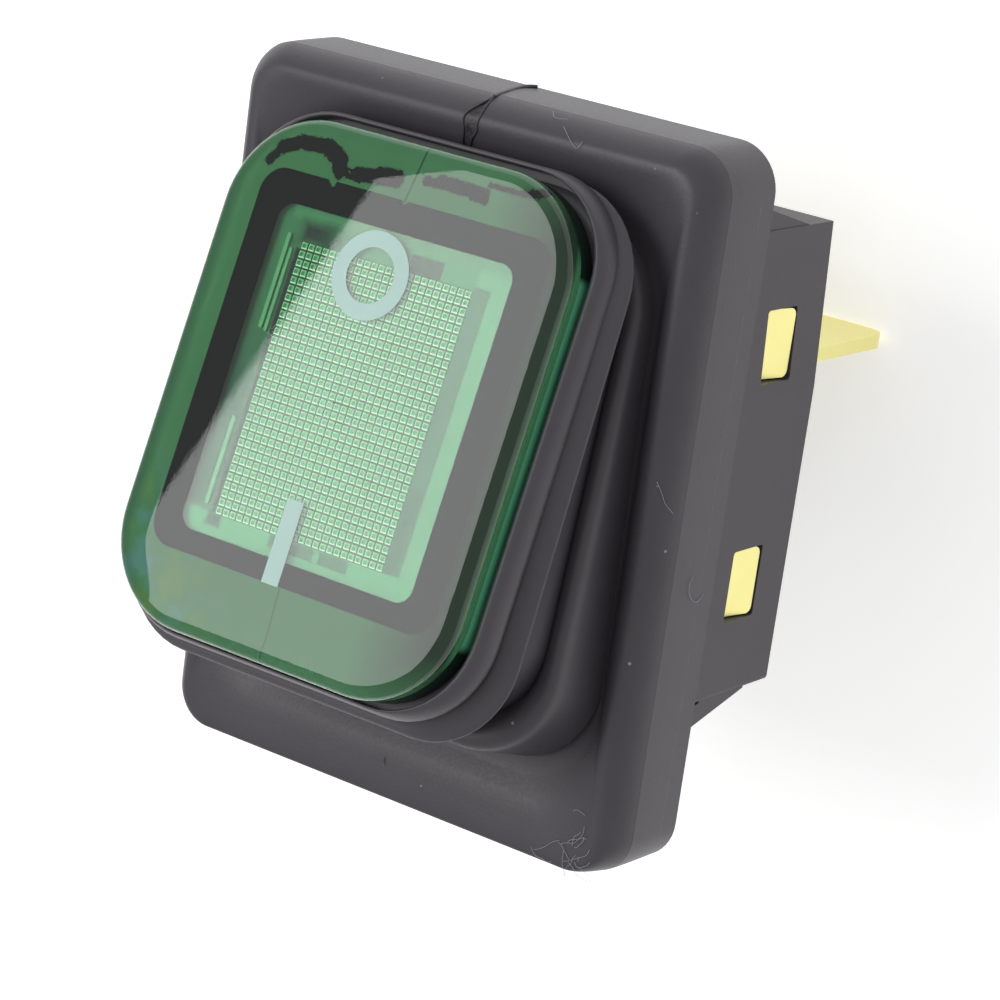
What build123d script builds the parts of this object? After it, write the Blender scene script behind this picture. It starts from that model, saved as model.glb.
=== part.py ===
from build123d import *
import math
import os

# Splash-proof rocker switch with a lamp, for a 22 x 30 mm panel cut-out.
# Millimetres. The origin is the centre of the cut-out on the flange's back face, +Z points out
# of the panel, X runs across the rocker and Y along it, with the O end at +Y.
# The rocker is drawn with its O end pressed, which is the rest position.

# Housing
body_width = 21.2
body_length = 25.8
body_depth = 14.75
body_wall = 1.4
body_corner = 0.3
end_draw = 0.45
end_draw_length = 9.0
bezel_width = 25.6
bezel_length = 32.2
bezel_thickness = 2.6
bezel_corner = 1.8
window_length = 4.0
window_height = 2.9
window_row = 6.6
window_lift = 2.6
window_corner = 0.2
cutout_length = 30.0
tongue_root_z = -12.4
tongue_knee_z = -4.6
tongue_tip_z = -2.4
tongue_thickness = 1.4
tongue_inset = 0.05

# Rocker hinge
hinge_z = 1.1
rest_tilt = -18.0
axle_radius = 1.6
axle_length = 1.7

# Boot
lip_thickness = 0.8
flange_width = 30.0
flange_length = 37.7
flange_corner = 2.6
plateau_z = 5.4
edge_inset = 1.25
edge_height = 1.0
wall_draft = 0.15
boot_wall = 0.9
bead_wall_x = 0.8
bead_wall_y = 0.55
bead_height = 1.45
fold_base_width = 24.9
fold_base_length = 28.6
tier_width = 24.9
tier_length = 28.6
tier_height = 6.15
tier_share = 0.29
neck_width = 21.8
neck_length = 25.6
neck_bottom = 3.4
lip_width = 24.6
lip_length = 28.3
lip_height = 9.23
lip_share = 0.85
fold_corner = 4.9
ledge_overlap = 0.9

# Cap
cap_width = 21.5
cap_length = 26.5
cap_corner = 4.6
cap_top = 12.25
cap_depth = 1.8
cap_face = 1.15
cap_rim = 1.35
cap_edge = 0.6

# Rocker
lens_width = 15.0
lens_length = 18.2
lens_corner = 1.2
lens_face = 1.1
lens_skirt = 0.8
lens_skirt_depth = 1.3
rocker_side_gap = 0.6
rocker_end_gap = 1.1
rocker_foot_height = 1.5
rocker_heel_length = 16.0
rocker_heel_depth = 2.6
rocker_wall = 1.2
web_top = 3.2
web_thickness = 1.0

# Contact side
contact_side_gap = 4.4
guide_radius = 2.2
guide_bottom = -6.6
plunger_radius = 1.45
plunger_top = -1.8
plunger_tip_radius = 0.8
spring_radius = 1.05
spring_wire = 0.2
spring_turns = 4
seesaw_width = 4.0
seesaw_thickness = 0.5
seesaw_arm = 6.9
seesaw_bend = 13.5
seesaw_rest = 7.0
saddle_radius = 0.45
saddle_reach = 1.2
ear_half_length = 1.0
ear_height = 1.4
rivet_row = 5.95
rivet_head = 1.1
rivet_shank = 0.6
rivet_moving_height = 0.45
rivet_fixed_height = 0.5

# Terminals
tab_width = 6.3
tab_thickness = 0.8
tab_reach = 11.6
tab_corner = 1.2
tab_side_gap = 0.85
row_y = 4.6
shelf_lift = 2.2
shelf_width = 5.2
shelf_end = 7.9
flag_end = 8.6
flag_margin = 0.15
lance_tip_recess = 0.08
lance_root_recess = 0.65
lance_gap = 0.1
lance_corner = 0.4
lamp_shelf_top = -5.0
lamp_shelf_inner = 1.4
link_thickness = 0.8
link_width = 2.4

# Base
base_thickness = 1.4
base_recess = 0.15
barrier_height = 2.6
barrier_width = 1.0
barrier_end_gap = 2.0
barrier_side_gap = 1.5
ledge_width = 0.6
ledge_height = 0.8
partition_x = 1.1
partition_width = 1.0
partition_top = -5.9
partition_lift = 1.2

# Lamp
lamp_x = 3.4
lamp_height = 7.4
lamp_radius = 1.7
lamp_length = 10.4
lamp_glass = 0.4
electrode_radius = 0.25
electrode_spread = 0.45
resistor_x = -2.4
resistor_radius = 1.0
resistor_length = 4.8
resistor_row = -2.8
lead_radius = 0.25
lead_row = 6.5
lead_height = 3.9
eyelet_row = 3.0
eyelet_head = 1.5
eyelet_shank = 0.7
eyelet_head_height = 0.4
lamp_spring_radius = 1.2
lamp_spring_turns = 7

# Clearances
fit_gap = 0.1
running_gap = 0.06
slide_gap = 0.05
seat_gap = 0.04
tip_gap = 0.25

# Worked out from the values above
bezel_back = lip_thickness
bezel_front = bezel_back + bezel_thickness
inner_width = body_width - 2 * body_wall
inner_length = body_length - 2 * body_wall
base_bottom = base_recess - body_depth
base_top = base_bottom + base_thickness
window_z = base_top + window_lift
flag_bottom = base_top + fit_gap
flag_top = window_z + window_height / 2 + flag_margin
shelf_top = base_top + shelf_lift
partition_bottom = base_top + partition_lift
tab_tip_z = base_bottom - tab_reach
column_x = inner_width / 2 - tab_side_gap - tab_width / 2
contact_x = contact_side_gap - inner_width / 2
rocker_foot_width = inner_width - 2 * rocker_side_gap
rocker_foot_length = inner_length - 2 * rocker_end_gap
cap_bottom = cap_top - cap_depth
bead_base = cap_bottom - 0.35
lens_top = cap_top - cap_face - fit_gap
lens_bottom = lens_top - lens_face
web_bottom = web_top - web_thickness
seesaw_pivot_z = shelf_top + saddle_radius + seat_gap
plunger_tip = seesaw_pivot_z + seesaw_thickness + tip_gap - hinge_z
flag_outer = inner_width / 2 - fit_gap
lower_wall = body_width / 2
upper_wall = lower_wall - end_draw * (1 - (body_length / 2 - window_row) / end_draw_length)


# Helpers

def in_rocker(shape):
    """Carry a shape from the rocker's own frame, hinge at its origin, to the rest position."""
    return Pos(0, 0, hinge_z) * Rot(rest_tilt, 0, 0) * shape


def block(x_range, y_range, z_range):
    """A box between two limits on each axis."""
    size = [high - low for low, high in (x_range, y_range, z_range)]
    middle = [(high + low) / 2 for low, high in (x_range, y_range, z_range)]
    return Pos(*middle) * Box(*size)


def prism(width, length, corner, bottom, top):
    """An upright block with rounded corners."""
    return Pos(0, 0, bottom) * extrude(RectangleRounded(width, length, corner), top - bottom)


def rod_x(radius, x_range, y, z):
    """A cylinder along X."""
    low, high = x_range
    return Pos((low + high) / 2, y, z) * Rot(0, 90, 0) * Cylinder(radius, high - low)


def disc(radius, x, y, bottom, top):
    """A cylinder along Z."""
    return Pos(x, y, (bottom + top) / 2) * Cylinder(radius, top - bottom)


def coil(radius, wire, length, turns):
    """A round spring of straight facets from height 0 to length, centre of wire to centre of wire."""
    sides = 9
    steps = turns * sides
    points = []
    for step in range(steps + 1):
        angle = 2 * math.pi * step / sides
        height = length * step / steps
        points.append(Vector(radius * math.cos(angle), radius * math.sin(angle), height))
    path = Polyline(*points)
    section = Plane(origin=path @ 0, z_dir=path % 0) * RegularPolygon(wire, 6)
    return sweep(section, path=path, transition=Transition.RIGHT)


def wire(points):
    """A thin lamp lead along straight runs."""
    path = Polyline(*points)
    section = Plane(origin=path @ 0, z_dir=path % 0) * RegularPolygon(lead_radius, 6)
    return sweep(section, path=path, transition=Transition.RIGHT)


def cut_corner_outline(width, length, cut):
    """A rectangle with its corners cut off."""
    return chamfer(Rectangle(width, length).vertices(), cut)


# Rubber boot

def fold_ring(share, levels):
    """One ring of the bellows, turned about the hinge by a share of the rest tilt."""
    sections = []
    for height, width, length, corner in levels:
        outline = RectangleRounded(width, length, corner)
        sections.append(Plane.XY.offset(height) * outline)
    return Pos(0, 0, hinge_z) * Rot(share * rest_tilt, 0, 0) * loft(sections, ruled=True)


def fold_outside():
    """The bellows filled in: lower tier, neck with its lip, and rim bead."""
    bead_width = cap_width + 2 * fit_gap + 2 * bead_wall_x
    bead_length = cap_length + 2 * fit_gap + 2 * bead_wall_y
    tier = fold_ring(tier_share, [
        (tier_height - 3.6, tier_width, tier_length, fold_corner),
        (tier_height - 0.5, tier_width - 0.5, tier_length - 0.5, fold_corner),
        (tier_height - 0.12, tier_width - 0.9, tier_length - 0.9, fold_corner),
        (tier_height, tier_width - 1.8, tier_length - 1.8, fold_corner),
    ])
    neck = fold_ring(lip_share, [
        (neck_bottom, neck_width, neck_length, fold_corner),
        (lip_height - 1.0, neck_width, neck_length, fold_corner),
        (lip_height - 0.3, lip_width - 0.4, lip_length - 0.4, fold_corner),
        (lip_height, lip_width, lip_length, fold_corner),
        (lip_height + 0.3, lip_width - 0.6, lip_length - 0.5, fold_corner),
        (lip_height + 0.75, lip_width - 2.2, lip_length - 1.7, fold_corner),
    ])
    rim = fold_ring(1, [
        (bead_base - 1.2, bead_width - 1.1, bead_length - 0.8, fold_corner),
        (bead_base + 0.2, bead_width - 1.0, bead_length - 0.7, fold_corner),
        (bead_base + 0.6, bead_width - 0.2, bead_length - 0.2, fold_corner),
        (bead_base + 0.95, bead_width, bead_length, fold_corner),
        (bead_base + 1.25, bead_width - 0.3, bead_length - 0.25, fold_corner),
        (bead_base + bead_height, bead_width - 0.9, bead_length - 0.7, fold_corner),
    ])
    return tier + neck + rim


def fold_inside():
    """The hollow of the bellows, ring by ring, narrowest under the cap's ledge."""
    corner = fold_corner - boot_wall
    wall = 2 * boot_wall
    throat = prism(fold_base_width - wall, fold_base_length - wall, corner, bezel_front,
                   plateau_z - boot_wall)
    tier_top = tier_height - boot_wall
    tier = fold_ring(tier_share, [
        (0, tier_width - wall - 0.4, tier_length - wall - 0.4, corner),
        (tier_top, tier_width - wall - 0.6, tier_length - wall - 0.6, corner),
    ])
    neck = fold_ring(lip_share, [
        (0, neck_width - wall, neck_length - wall, corner),
        (lip_height + 1.5, neck_width - wall, neck_length - wall, corner),
    ])
    ledge_width = cap_width - 2 * ledge_overlap
    ledge_length = cap_length - 2 * ledge_overlap
    rim = fold_ring(1, [
        (lip_height - 1.0, ledge_width, ledge_length, corner),
        (cap_top, ledge_width, ledge_length, corner),
    ])
    hollow = throat + tier + neck + rim
    half_width = flange_width / 2
    half_length = flange_length / 2
    return hollow & block((-half_width, half_width), (-half_length, half_length),
                          (bezel_front, cap_top + half_length))


def flange_body():
    """The flange: drafted side wall, rounded front edge and flat plateau."""
    wall_top = plateau_z - edge_height
    sections = [Plane.XY * RectangleRounded(flange_width, flange_length, flange_corner)]
    steps = 4
    for step in range(steps + 1):
        angle = math.pi / 2 * step / steps
        inset = wall_draft + edge_inset * (1 - math.cos(angle))
        height = wall_top + edge_height * math.sin(angle)
        outline = RectangleRounded(flange_width - 2 * inset, flange_length - 2 * inset,
                                   flange_corner - inset / 2)
        sections.append(Plane.XY.offset(height) * outline)
    return loft(sections, ruled=True)


def make_rubber_boot():
    """Flange, two-tier bellows and rim bead in one moulding."""
    boot = flange_body() + fold_outside()
    boot -= fold_inside()
    boot -= prism(bezel_width + 2 * fit_gap, bezel_length + 2 * fit_gap, bezel_corner + fit_gap,
                  bezel_back, bezel_front + fit_gap)
    boot -= prism(body_width + 4 * fit_gap, body_length + 4 * fit_gap, body_corner,
                  -fit_gap, bezel_front)
    seat = prism(cap_width + 2 * fit_gap, cap_length + 2 * fit_gap, cap_corner + fit_gap,
                 cap_bottom - fit_gap, cap_top + bead_height)
    return boot - in_rocker(seat)


# Cap

def make_green_cap():
    """Clear tile with a rounded top edge, hollow underneath round the rocker's lens."""
    sections = [Plane.XY.offset(cap_bottom) * RectangleRounded(cap_width, cap_length, cap_corner)]
    steps = 3
    for step in range(steps + 1):
        angle = math.pi / 2 * step / steps
        inset = cap_edge * (1 - math.cos(angle))
        height = cap_top - cap_edge + cap_edge * math.sin(angle)
        outline = RectangleRounded(cap_width - 2 * inset, cap_length - 2 * inset, cap_corner - inset)
        sections.append(Plane.XY.offset(height) * outline)
    cap = loft(sections, ruled=True)
    hollow = prism(cap_width - 2 * cap_rim, cap_length - 2 * cap_rim, cap_corner - cap_rim,
                   cap_bottom, cap_top - cap_face)
    return in_rocker(cap - hollow)


# Housing

def make_tongue(half):
    """One snap tongue on the +Y wall, flared towards the panel and free at its tip."""
    wall = body_length / 2
    reach = cutout_length / 2
    root = wall - body_wall / 2
    slope = (reach - wall) / (tongue_knee_z - tongue_root_z)
    gap_bottom = tongue_root_z + tongue_thickness / slope * 0.85
    points = [
        (root, tongue_root_z),
        (wall, tongue_root_z),
        (reach, tongue_knee_z),
        (reach, tongue_tip_z),
        (reach - tongue_thickness, tongue_tip_z),
        (reach - tongue_thickness, tongue_knee_z),
        (wall, gap_bottom),
        (root, gap_bottom),
    ]
    profile = Plane.YZ * make_face(Polyline(*points, close=True))
    return Pos(-half, 0, 0) * extrude(profile, 2 * half)


def make_switch_housing():
    """Open-backed body with bezel, tongues, windows, axle holes, ledges and partition."""
    housing = prism(body_width, body_length, body_corner, -body_depth, bezel_front)
    half_width = body_width / 2
    half_length = body_length / 2
    for side in (-1, 1):
        wedge = make_face(Polyline((side * half_width, half_length - end_draw_length),
                                   (side * (half_width - end_draw), half_length),
                                   (side * half_width, half_length), close=True))
        housing -= Pos(0, 0, -body_depth) * extrude(wedge, body_depth)
    housing += prism(bezel_width, bezel_length, bezel_corner, bezel_back, bezel_front)
    housing -= block((-inner_width / 2, inner_width / 2), (-inner_length / 2, inner_length / 2),
                     (-body_depth, bezel_front))
    housing += make_tongue(half_width - end_draw - tongue_inset)
    housing += mirror(make_tongue(half_width - tongue_inset), Plane.XZ)
    for side in (-1, 1):
        for row in (-window_row, window_row):
            outline = RectangleRounded(window_length, window_height, window_corner)
            cut = extrude(Plane.YZ * outline, body_wall, both=True)
            housing -= Pos(side * (body_width - body_wall) / 2, row, window_z) * cut
        hole_depth = axle_length + rocker_foot_width / 2 - inner_width / 2 + fit_gap
        hole_range = sorted((side * inner_width / 2, side * (inner_width / 2 + hole_depth)))
        housing -= rod_x(axle_radius + running_gap, hole_range, 0, hinge_z)
        ledge = sorted((side * inner_length / 2, side * (inner_length / 2 - ledge_width)))
        housing += block((-inner_width / 2, inner_width / 2), ledge,
                         (base_top + seat_gap, base_top + seat_gap + ledge_height))
    housing += block((partition_x - partition_width / 2, partition_x + partition_width / 2),
                     (-inner_length / 2, inner_length / 2), (partition_bottom, partition_top))
    return housing


# Base

def tab_slot(x, y):
    """The hole in the base that one terminal blade passes through."""
    return block((x - tab_width / 2 - fit_gap, x + tab_width / 2 + fit_gap),
                 (y - tab_thickness / 2 - fit_gap, y + tab_thickness / 2 + fit_gap),
                 (base_bottom, base_top))


def make_terminal_base():
    """Plate that closes the back, with barriers between the blades."""
    plate_width = inner_width - 2 * fit_gap
    plate_length = inner_length - 2 * fit_gap
    base = prism(plate_width, plate_length, fit_gap, base_bottom, base_top)
    half_barrier = barrier_width / 2
    half_length = plate_length / 2 - barrier_end_gap
    half_width = plate_width / 2 - barrier_side_gap
    z_range = (base_bottom - barrier_height, base_bottom)
    base += block((-half_barrier, half_barrier), (-half_length, half_length), z_range)
    base += block((-half_width, half_width), (-half_barrier, half_barrier), z_range)
    base -= tab_slot(column_x, row_y)
    base -= tab_slot(-column_x, row_y)
    base -= tab_slot(-column_x, -row_y)
    return base


# Terminals, all drawn on the +Y row and then mirrored where they belong

def tab_blade(side, top):
    """A 6.3 mm blade with rounded tip corners, on the column at one side."""
    blade = block((side * column_x - tab_width / 2, side * column_x + tab_width / 2),
                  (row_y - tab_thickness / 2, row_y + tab_thickness / 2), (tab_tip_z, top))
    tip_corners = blade.edges().filter_by(Axis.Y).group_by(Axis.Z)[0]
    return fillet(tip_corners, tab_corner)


def window_flag(side, top, wall):
    """The bent side of a terminal, its lance pressed out into the window, flush at the back end."""
    x_range = sorted((side * flag_outer, side * (flag_outer - tab_thickness)))
    flag = block(x_range, (row_y - tab_thickness / 2, flag_end), (flag_bottom, top))
    half_height = window_height / 2 - lance_gap
    rise_at_root = wall - lance_root_recess - flag_outer
    rise_at_tip = wall - lance_tip_recess - flag_outer
    slope = make_face(Polyline((0, half_height), (side * rise_at_root, half_height),
                               (side * rise_at_tip, -half_height), (0, -half_height), close=True))
    half_length = window_length / 2 - lance_gap
    lance = extrude(Plane.XZ * slope, half_length, both=True)
    outline = RectangleRounded(2 * half_length, 2 * half_height, lance_corner)
    lance &= extrude(Plane.YZ * outline, side * body_width)
    return flag + Pos(side * flag_outer, window_row, window_z) * lance


def flag_bridge(side, top):
    """Joins the blade to the flag across the column."""
    x_range = sorted((side * flag_outer, side * column_x))
    return block(x_range, (row_y - tab_thickness / 2, row_y + tab_thickness / 2),
                 (flag_bottom, top))


def contact_shelf(inner_end):
    """The flat arm of a contact-side terminal."""
    return block((contact_x - shelf_width / 2, contact_x + shelf_width / 2),
                 (inner_end, shelf_end), (shelf_top - tab_thickness, shelf_top))


def make_load_terminal():
    """Carries the fixed contact under the see-saw's +Y arm."""
    terminal = tab_blade(-1, shelf_top) + flag_bridge(-1, shelf_top)
    terminal += window_flag(-1, flag_top, upper_wall)
    terminal += contact_shelf(row_y - tab_thickness / 2)
    return terminal - disc(rivet_shank + slide_gap, contact_x, rivet_row,
                           shelf_top - tab_thickness, shelf_top)


def make_line_terminal():
    """Carries the saddle that the see-saw rocks on."""
    terminal = tab_blade(-1, shelf_top) + flag_bridge(-1, shelf_top)
    terminal += window_flag(-1, flag_top, lower_wall)
    terminal += contact_shelf(-saddle_reach)
    terminal = mirror(terminal, Plane.XZ)
    half_seesaw = seesaw_width / 2
    terminal += rod_x(saddle_radius, (contact_x - half_seesaw, contact_x + half_seesaw), 0,
                      shelf_top)
    ear_inner = half_seesaw + 1.5 * fit_gap
    ear_top = seesaw_pivot_z + ear_height
    for side in (-1, 1):
        x_range = sorted((contact_x + side * ear_inner, contact_x + side * shelf_width / 2))
        terminal += block(x_range, (-ear_half_length, ear_half_length),
                          (shelf_top - tab_thickness, ear_top))
    return terminal


def lamp_shelf():
    """The flat pad under one lamp spring, on the lamp side."""
    return block((lamp_x - lamp_spring_radius - 0.6, flag_outer), (lamp_shelf_inner, shelf_end),
                 (lamp_shelf_top - tab_thickness, lamp_shelf_top))


def make_neutral_terminal():
    """Lamp supply: a blade, the flag behind the upper window and the pad for its spring."""
    terminal = tab_blade(1, flag_top) + window_flag(1, lamp_shelf_top, upper_wall)
    return terminal + flag_bridge(1, flag_top) + lamp_shelf()


def make_lamp_link():
    """Links the lower lamp spring to the load terminal, past the lower window."""
    link = window_flag(1, lamp_shelf_top, lower_wall) + lamp_shelf()
    link = mirror(link, Plane.XZ)
    outer_row = -row_y + tab_thickness / 2 - link_width
    foot_row = row_y - tab_thickness / 2 - slide_gap
    z_range = (flag_bottom, flag_bottom + link_thickness)
    link += block((-link_width / 2, flag_outer), (outer_row, outer_row + link_width), z_range)
    link += block((-link_width / 2, link_width / 2), (outer_row, foot_row), z_range)
    link += block((-column_x, link_width / 2), (foot_row - link_width, foot_row), z_range)
    return link


# See-saw and contact tips, drawn level with the pivot at the origin

def in_seesaw(shape):
    """Carry a shape from the see-saw's own frame to its rest position."""
    return Pos(contact_x, 0, seesaw_pivot_z) * Rot(seesaw_rest, 0, 0) * shape


def on_arm(shape):
    """Carry a shape from above the pivot to the rivet's place on the +Y arm."""
    return Rot(seesaw_bend, 0, 0) * Pos(0, rivet_row, 0) * shape


def make_seesaw_contact():
    """A strip bent upwards on both sides of its pivot."""
    rise = seesaw_arm * math.tan(math.radians(seesaw_bend))
    points = [
        (-seesaw_arm, rise),
        (0, 0),
        (seesaw_arm, rise),
        (seesaw_arm, rise + seesaw_thickness),
        (0, seesaw_thickness),
        (-seesaw_arm, rise + seesaw_thickness),
    ]
    profile = Plane.YZ * make_face(Polyline(*points, close=True))
    strip = Pos(-seesaw_width / 2, 0, 0) * extrude(profile, seesaw_width)
    strip -= on_arm(disc(rivet_shank + slide_gap, 0, 0, -1, 1))
    return in_seesaw(strip)


def make_moving_contact():
    """Silver rivet through the see-saw's +Y arm."""
    rivet = disc(rivet_head, 0, 0, -rivet_moving_height, 0)
    rivet += disc(rivet_shank, 0, 0, -rivet_moving_height, seesaw_thickness)
    rivet += disc(rivet_shank + 0.2, 0, 0, seesaw_thickness, seesaw_thickness + 0.25)
    return in_seesaw(on_arm(rivet))


def make_fixed_contact():
    """Silver rivet through the load terminal's arm."""
    shelf_bottom = shelf_top - tab_thickness
    rivet = disc(rivet_head, contact_x, rivet_row, shelf_top, shelf_top + rivet_fixed_height)
    rivet += disc(rivet_shank, contact_x, rivet_row, shelf_bottom, shelf_top)
    return rivet + disc(rivet_shank + 0.2, contact_x, rivet_row, shelf_bottom - 0.3, shelf_bottom)


# Rocker

def make_rocker_body():
    """Hollow actuator with stub axles, a web, the plunger's guide and eyelet holes."""
    top = lens_bottom - fit_gap
    top_width = lens_width - 2 * lens_skirt - 2 * fit_gap
    top_length = lens_length - 2 * lens_skirt - 2 * fit_gap
    shoulder = lens_bottom - lens_skirt_depth - 2 * fit_gap
    levels = [
        (-rocker_heel_depth, rocker_foot_width, rocker_heel_length),
        (rocker_foot_height, rocker_foot_width, rocker_foot_length),
        (shoulder, lens_width - 4 * fit_gap, lens_length - 4 * fit_gap),
    ]
    outer = []
    inner = []
    for height, width, length in levels:
        outer.append(Plane.XY.offset(height) * cut_corner_outline(width, length, lens_corner))
        inner.append(Plane.XY.offset(height) * cut_corner_outline(
            width - 2 * rocker_wall, length - 2 * rocker_wall, lens_corner / 2))
    rocker = loft(outer, ruled=True)
    rocker += prism(top_width, top_length, lens_corner - lens_skirt / 2, shoulder, top)
    cavity = loft(inner, ruled=True)
    web = prism(rocker_foot_width, rocker_foot_length, lens_corner, web_bottom, web_top) & cavity
    rocker = rocker - cavity + web
    rocker -= prism(top_width - 2 * lens_skirt, top_length - 2 * lens_skirt, lens_corner - lens_skirt / 2,
                    shoulder - 1, top)
    foot = rocker_foot_width / 2
    rocker += rod_x(axle_radius, (foot - rocker_wall, foot + axle_length), 0, 0)
    rocker += rod_x(axle_radius, (-foot - axle_length, -foot + rocker_wall), 0, 0)
    rocker += disc(guide_radius, contact_x, 0, guide_bottom, web_bottom)
    rocker -= disc(plunger_radius + slide_gap, contact_x, 0, guide_bottom, web_bottom)
    for row in (-eyelet_row, eyelet_row):
        rocker -= disc(eyelet_shank + slide_gap, lamp_x, row, web_bottom, web_top)
    return in_rocker(rocker)


def make_rocker_lens():
    """Green lens pressed over the rocker's top, open underneath for the lamp's light."""
    lens = prism(lens_width, lens_length, lens_corner, lens_bottom - lens_skirt_depth, lens_top)
    lens = chamfer(lens.faces().sort_by(Axis.Z)[-1].edges(), 0.3)
    lens -= prism(lens_width - 2 * lens_skirt, lens_length - 2 * lens_skirt,
                  lens_corner - lens_skirt / 2, lens_bottom - lens_skirt_depth, lens_bottom)
    return in_rocker(lens)


def make_plunger():
    """Round-nosed pin that slides in the guide and pushes the see-saw over."""
    nose = plunger_tip + plunger_tip_radius
    profile = [
        (0, plunger_top),
        (plunger_radius, plunger_top),
        (plunger_radius, nose + 1.5),
        (plunger_tip_radius, nose),
        (0, nose),
    ]
    pin = revolve(Plane.XZ * make_face(Polyline(*profile, close=True)), Axis.Z)
    pin += Pos(0, 0, nose) * Sphere(plunger_tip_radius)
    return in_rocker(Pos(contact_x, 0, 0) * pin)


def make_plunger_spring():
    """Spring between the web and the plunger's head."""
    gap = spring_wire + seat_gap
    spring = coil(spring_radius, spring_wire, web_bottom - plunger_top - 2 * gap, spring_turns)
    return in_rocker(Pos(contact_x, 0, plunger_top + gap) * spring)


# Lamp circuit in the rocker

def lamp_outline(radius, half_length):
    """Half of a tube's section along Z, with its ends drawn in by two steps."""
    return [
        (0, -half_length),
        (radius * 0.6, -half_length + radius * 0.25),
        (radius, -half_length + radius),
        (radius, half_length - radius),
        (radius * 0.6, half_length - radius * 0.25),
        (0, half_length),
    ]


def make_neon_lamp():
    """Glass tube along Y with domed ends."""
    outside = Plane.XZ * make_face(Polyline(*lamp_outline(lamp_radius, lamp_length / 2), close=True))
    inner_radius = lamp_radius - lamp_glass
    inside = Plane.XZ * make_face(Polyline(*lamp_outline(inner_radius, lamp_length / 2 - lamp_glass),
                                           close=True))
    tube = revolve(outside, Axis.Z) - revolve(inside, Axis.Z)
    return in_rocker(Pos(lamp_x, 0, lamp_height) * Rot(90, 0, 0) * tube)


def make_lamp_electrodes():
    """Two parallel wires inside the glass, one from each end."""
    rods = []
    rod_length = lamp_length * 0.55
    end = lamp_length / 2 - lamp_radius
    for side in (-1, 1):
        middle = side * (end - rod_length / 2)
        rod = Pos(lamp_x + side * electrode_spread, middle, lamp_height) * Rot(90, 0, 0) * Cylinder(
            electrode_radius, rod_length)
        rods.append(in_rocker(rod))
    return Compound(children=rods)


def make_lamp_resistor():
    """Resistor beside the lamp, with rounded ends."""
    body = Rot(90, 0, 0) * Cylinder(resistor_radius, resistor_length)
    body = chamfer(body.edges(), 0.3)
    return in_rocker(Pos(resistor_x, resistor_row, lamp_height) * body)


def make_lamp_lead_upper():
    """From the lamp's O end down to the upper eyelet."""
    end = lamp_length / 2 + seat_gap
    points = [
        (lamp_x, end, lamp_height),
        (lamp_x, lead_row, lamp_height),
        (lamp_x, lead_row, lead_height),
        (lamp_x, eyelet_row, lead_height),
    ]
    return in_rocker(wire(points))


def make_lamp_lead_lower():
    """From the lamp's I end across to the resistor."""
    end = lamp_length / 2 + seat_gap
    resistor_end = resistor_row - resistor_length / 2 - seat_gap
    points = [
        (lamp_x, -end, lamp_height),
        (lamp_x, -lead_row, lamp_height),
        (resistor_x, -lead_row, lamp_height),
        (resistor_x, resistor_end, lamp_height),
    ]
    return in_rocker(wire(points))


def make_resistor_lead():
    """From the resistor under the lamp to the lower eyelet."""
    start = resistor_row + resistor_length / 2 + seat_gap
    cross_row = start + 1.3
    points = [
        (resistor_x, start, lamp_height),
        (resistor_x, cross_row, lamp_height),
        (resistor_x, cross_row, lead_height),
        (lamp_x, cross_row, lead_height),
        (lamp_x, -eyelet_row, lead_height),
    ]
    return in_rocker(wire(points))


def make_eyelet(row):
    """Brass eyelet through the web that joins a lead to its spring."""
    head_bottom = web_bottom - eyelet_head_height
    eyelet = disc(eyelet_head, lamp_x, row, head_bottom, web_bottom)
    eyelet += disc(eyelet_shank, lamp_x, row, head_bottom, lead_height - lead_radius - seat_gap)
    return in_rocker(eyelet)


def make_lamp_spring(row):
    """Upright spring from a lamp pad to the eyelet above it."""
    angle = math.radians(rest_tilt)
    seat = web_bottom - eyelet_head_height
    reach = lamp_spring_radius + spring_wire
    seat_y = row * math.cos(angle) - seat * math.sin(angle)
    seat_z = hinge_z + row * math.sin(angle) + seat * math.cos(angle)
    lowest_z = seat_z - reach * abs(math.sin(angle))
    bottom = lamp_shelf_top + spring_wire + seat_gap
    top = lowest_z - spring_wire - seat_gap
    spring = coil(lamp_spring_radius, spring_wire, top - bottom, lamp_spring_turns)
    return Pos(lamp_x, seat_y, bottom) * spring


nodes = {
    "rubber_boot": make_rubber_boot(),
    "green_cap": make_green_cap(),
    "switch_housing": make_switch_housing(),
    "terminal_base": make_terminal_base(),
    "load_terminal": make_load_terminal(),
    "line_terminal": make_line_terminal(),
    "neutral_terminal": make_neutral_terminal(),
    "lamp_link": make_lamp_link(),
    "fixed_contact": make_fixed_contact(),
    "moving_contact": make_moving_contact(),
    "seesaw_contact": make_seesaw_contact(),
    "rocker_body": make_rocker_body(),
    "rocker_lens": make_rocker_lens(),
    "plunger": make_plunger(),
    "plunger_spring": make_plunger_spring(),
    "neon_lamp": make_neon_lamp(),
    "lamp_electrodes": make_lamp_electrodes(),
    "lamp_resistor": make_lamp_resistor(),
    "lamp_lead_upper": make_lamp_lead_upper(),
    "lamp_lead_lower": make_lamp_lead_lower(),
    "resistor_lead": make_resistor_lead(),
    "lamp_eyelet_upper": make_eyelet(eyelet_row),
    "lamp_eyelet_lower": make_eyelet(-eyelet_row),
    "lamp_spring_upper": make_lamp_spring(eyelet_row),
    "lamp_spring_lower": make_lamp_spring(-eyelet_row),
}

os.makedirs("parts", exist_ok=True)
for name, shape in nodes.items():
    export_step(shape, f"parts/{name}.step")
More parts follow.
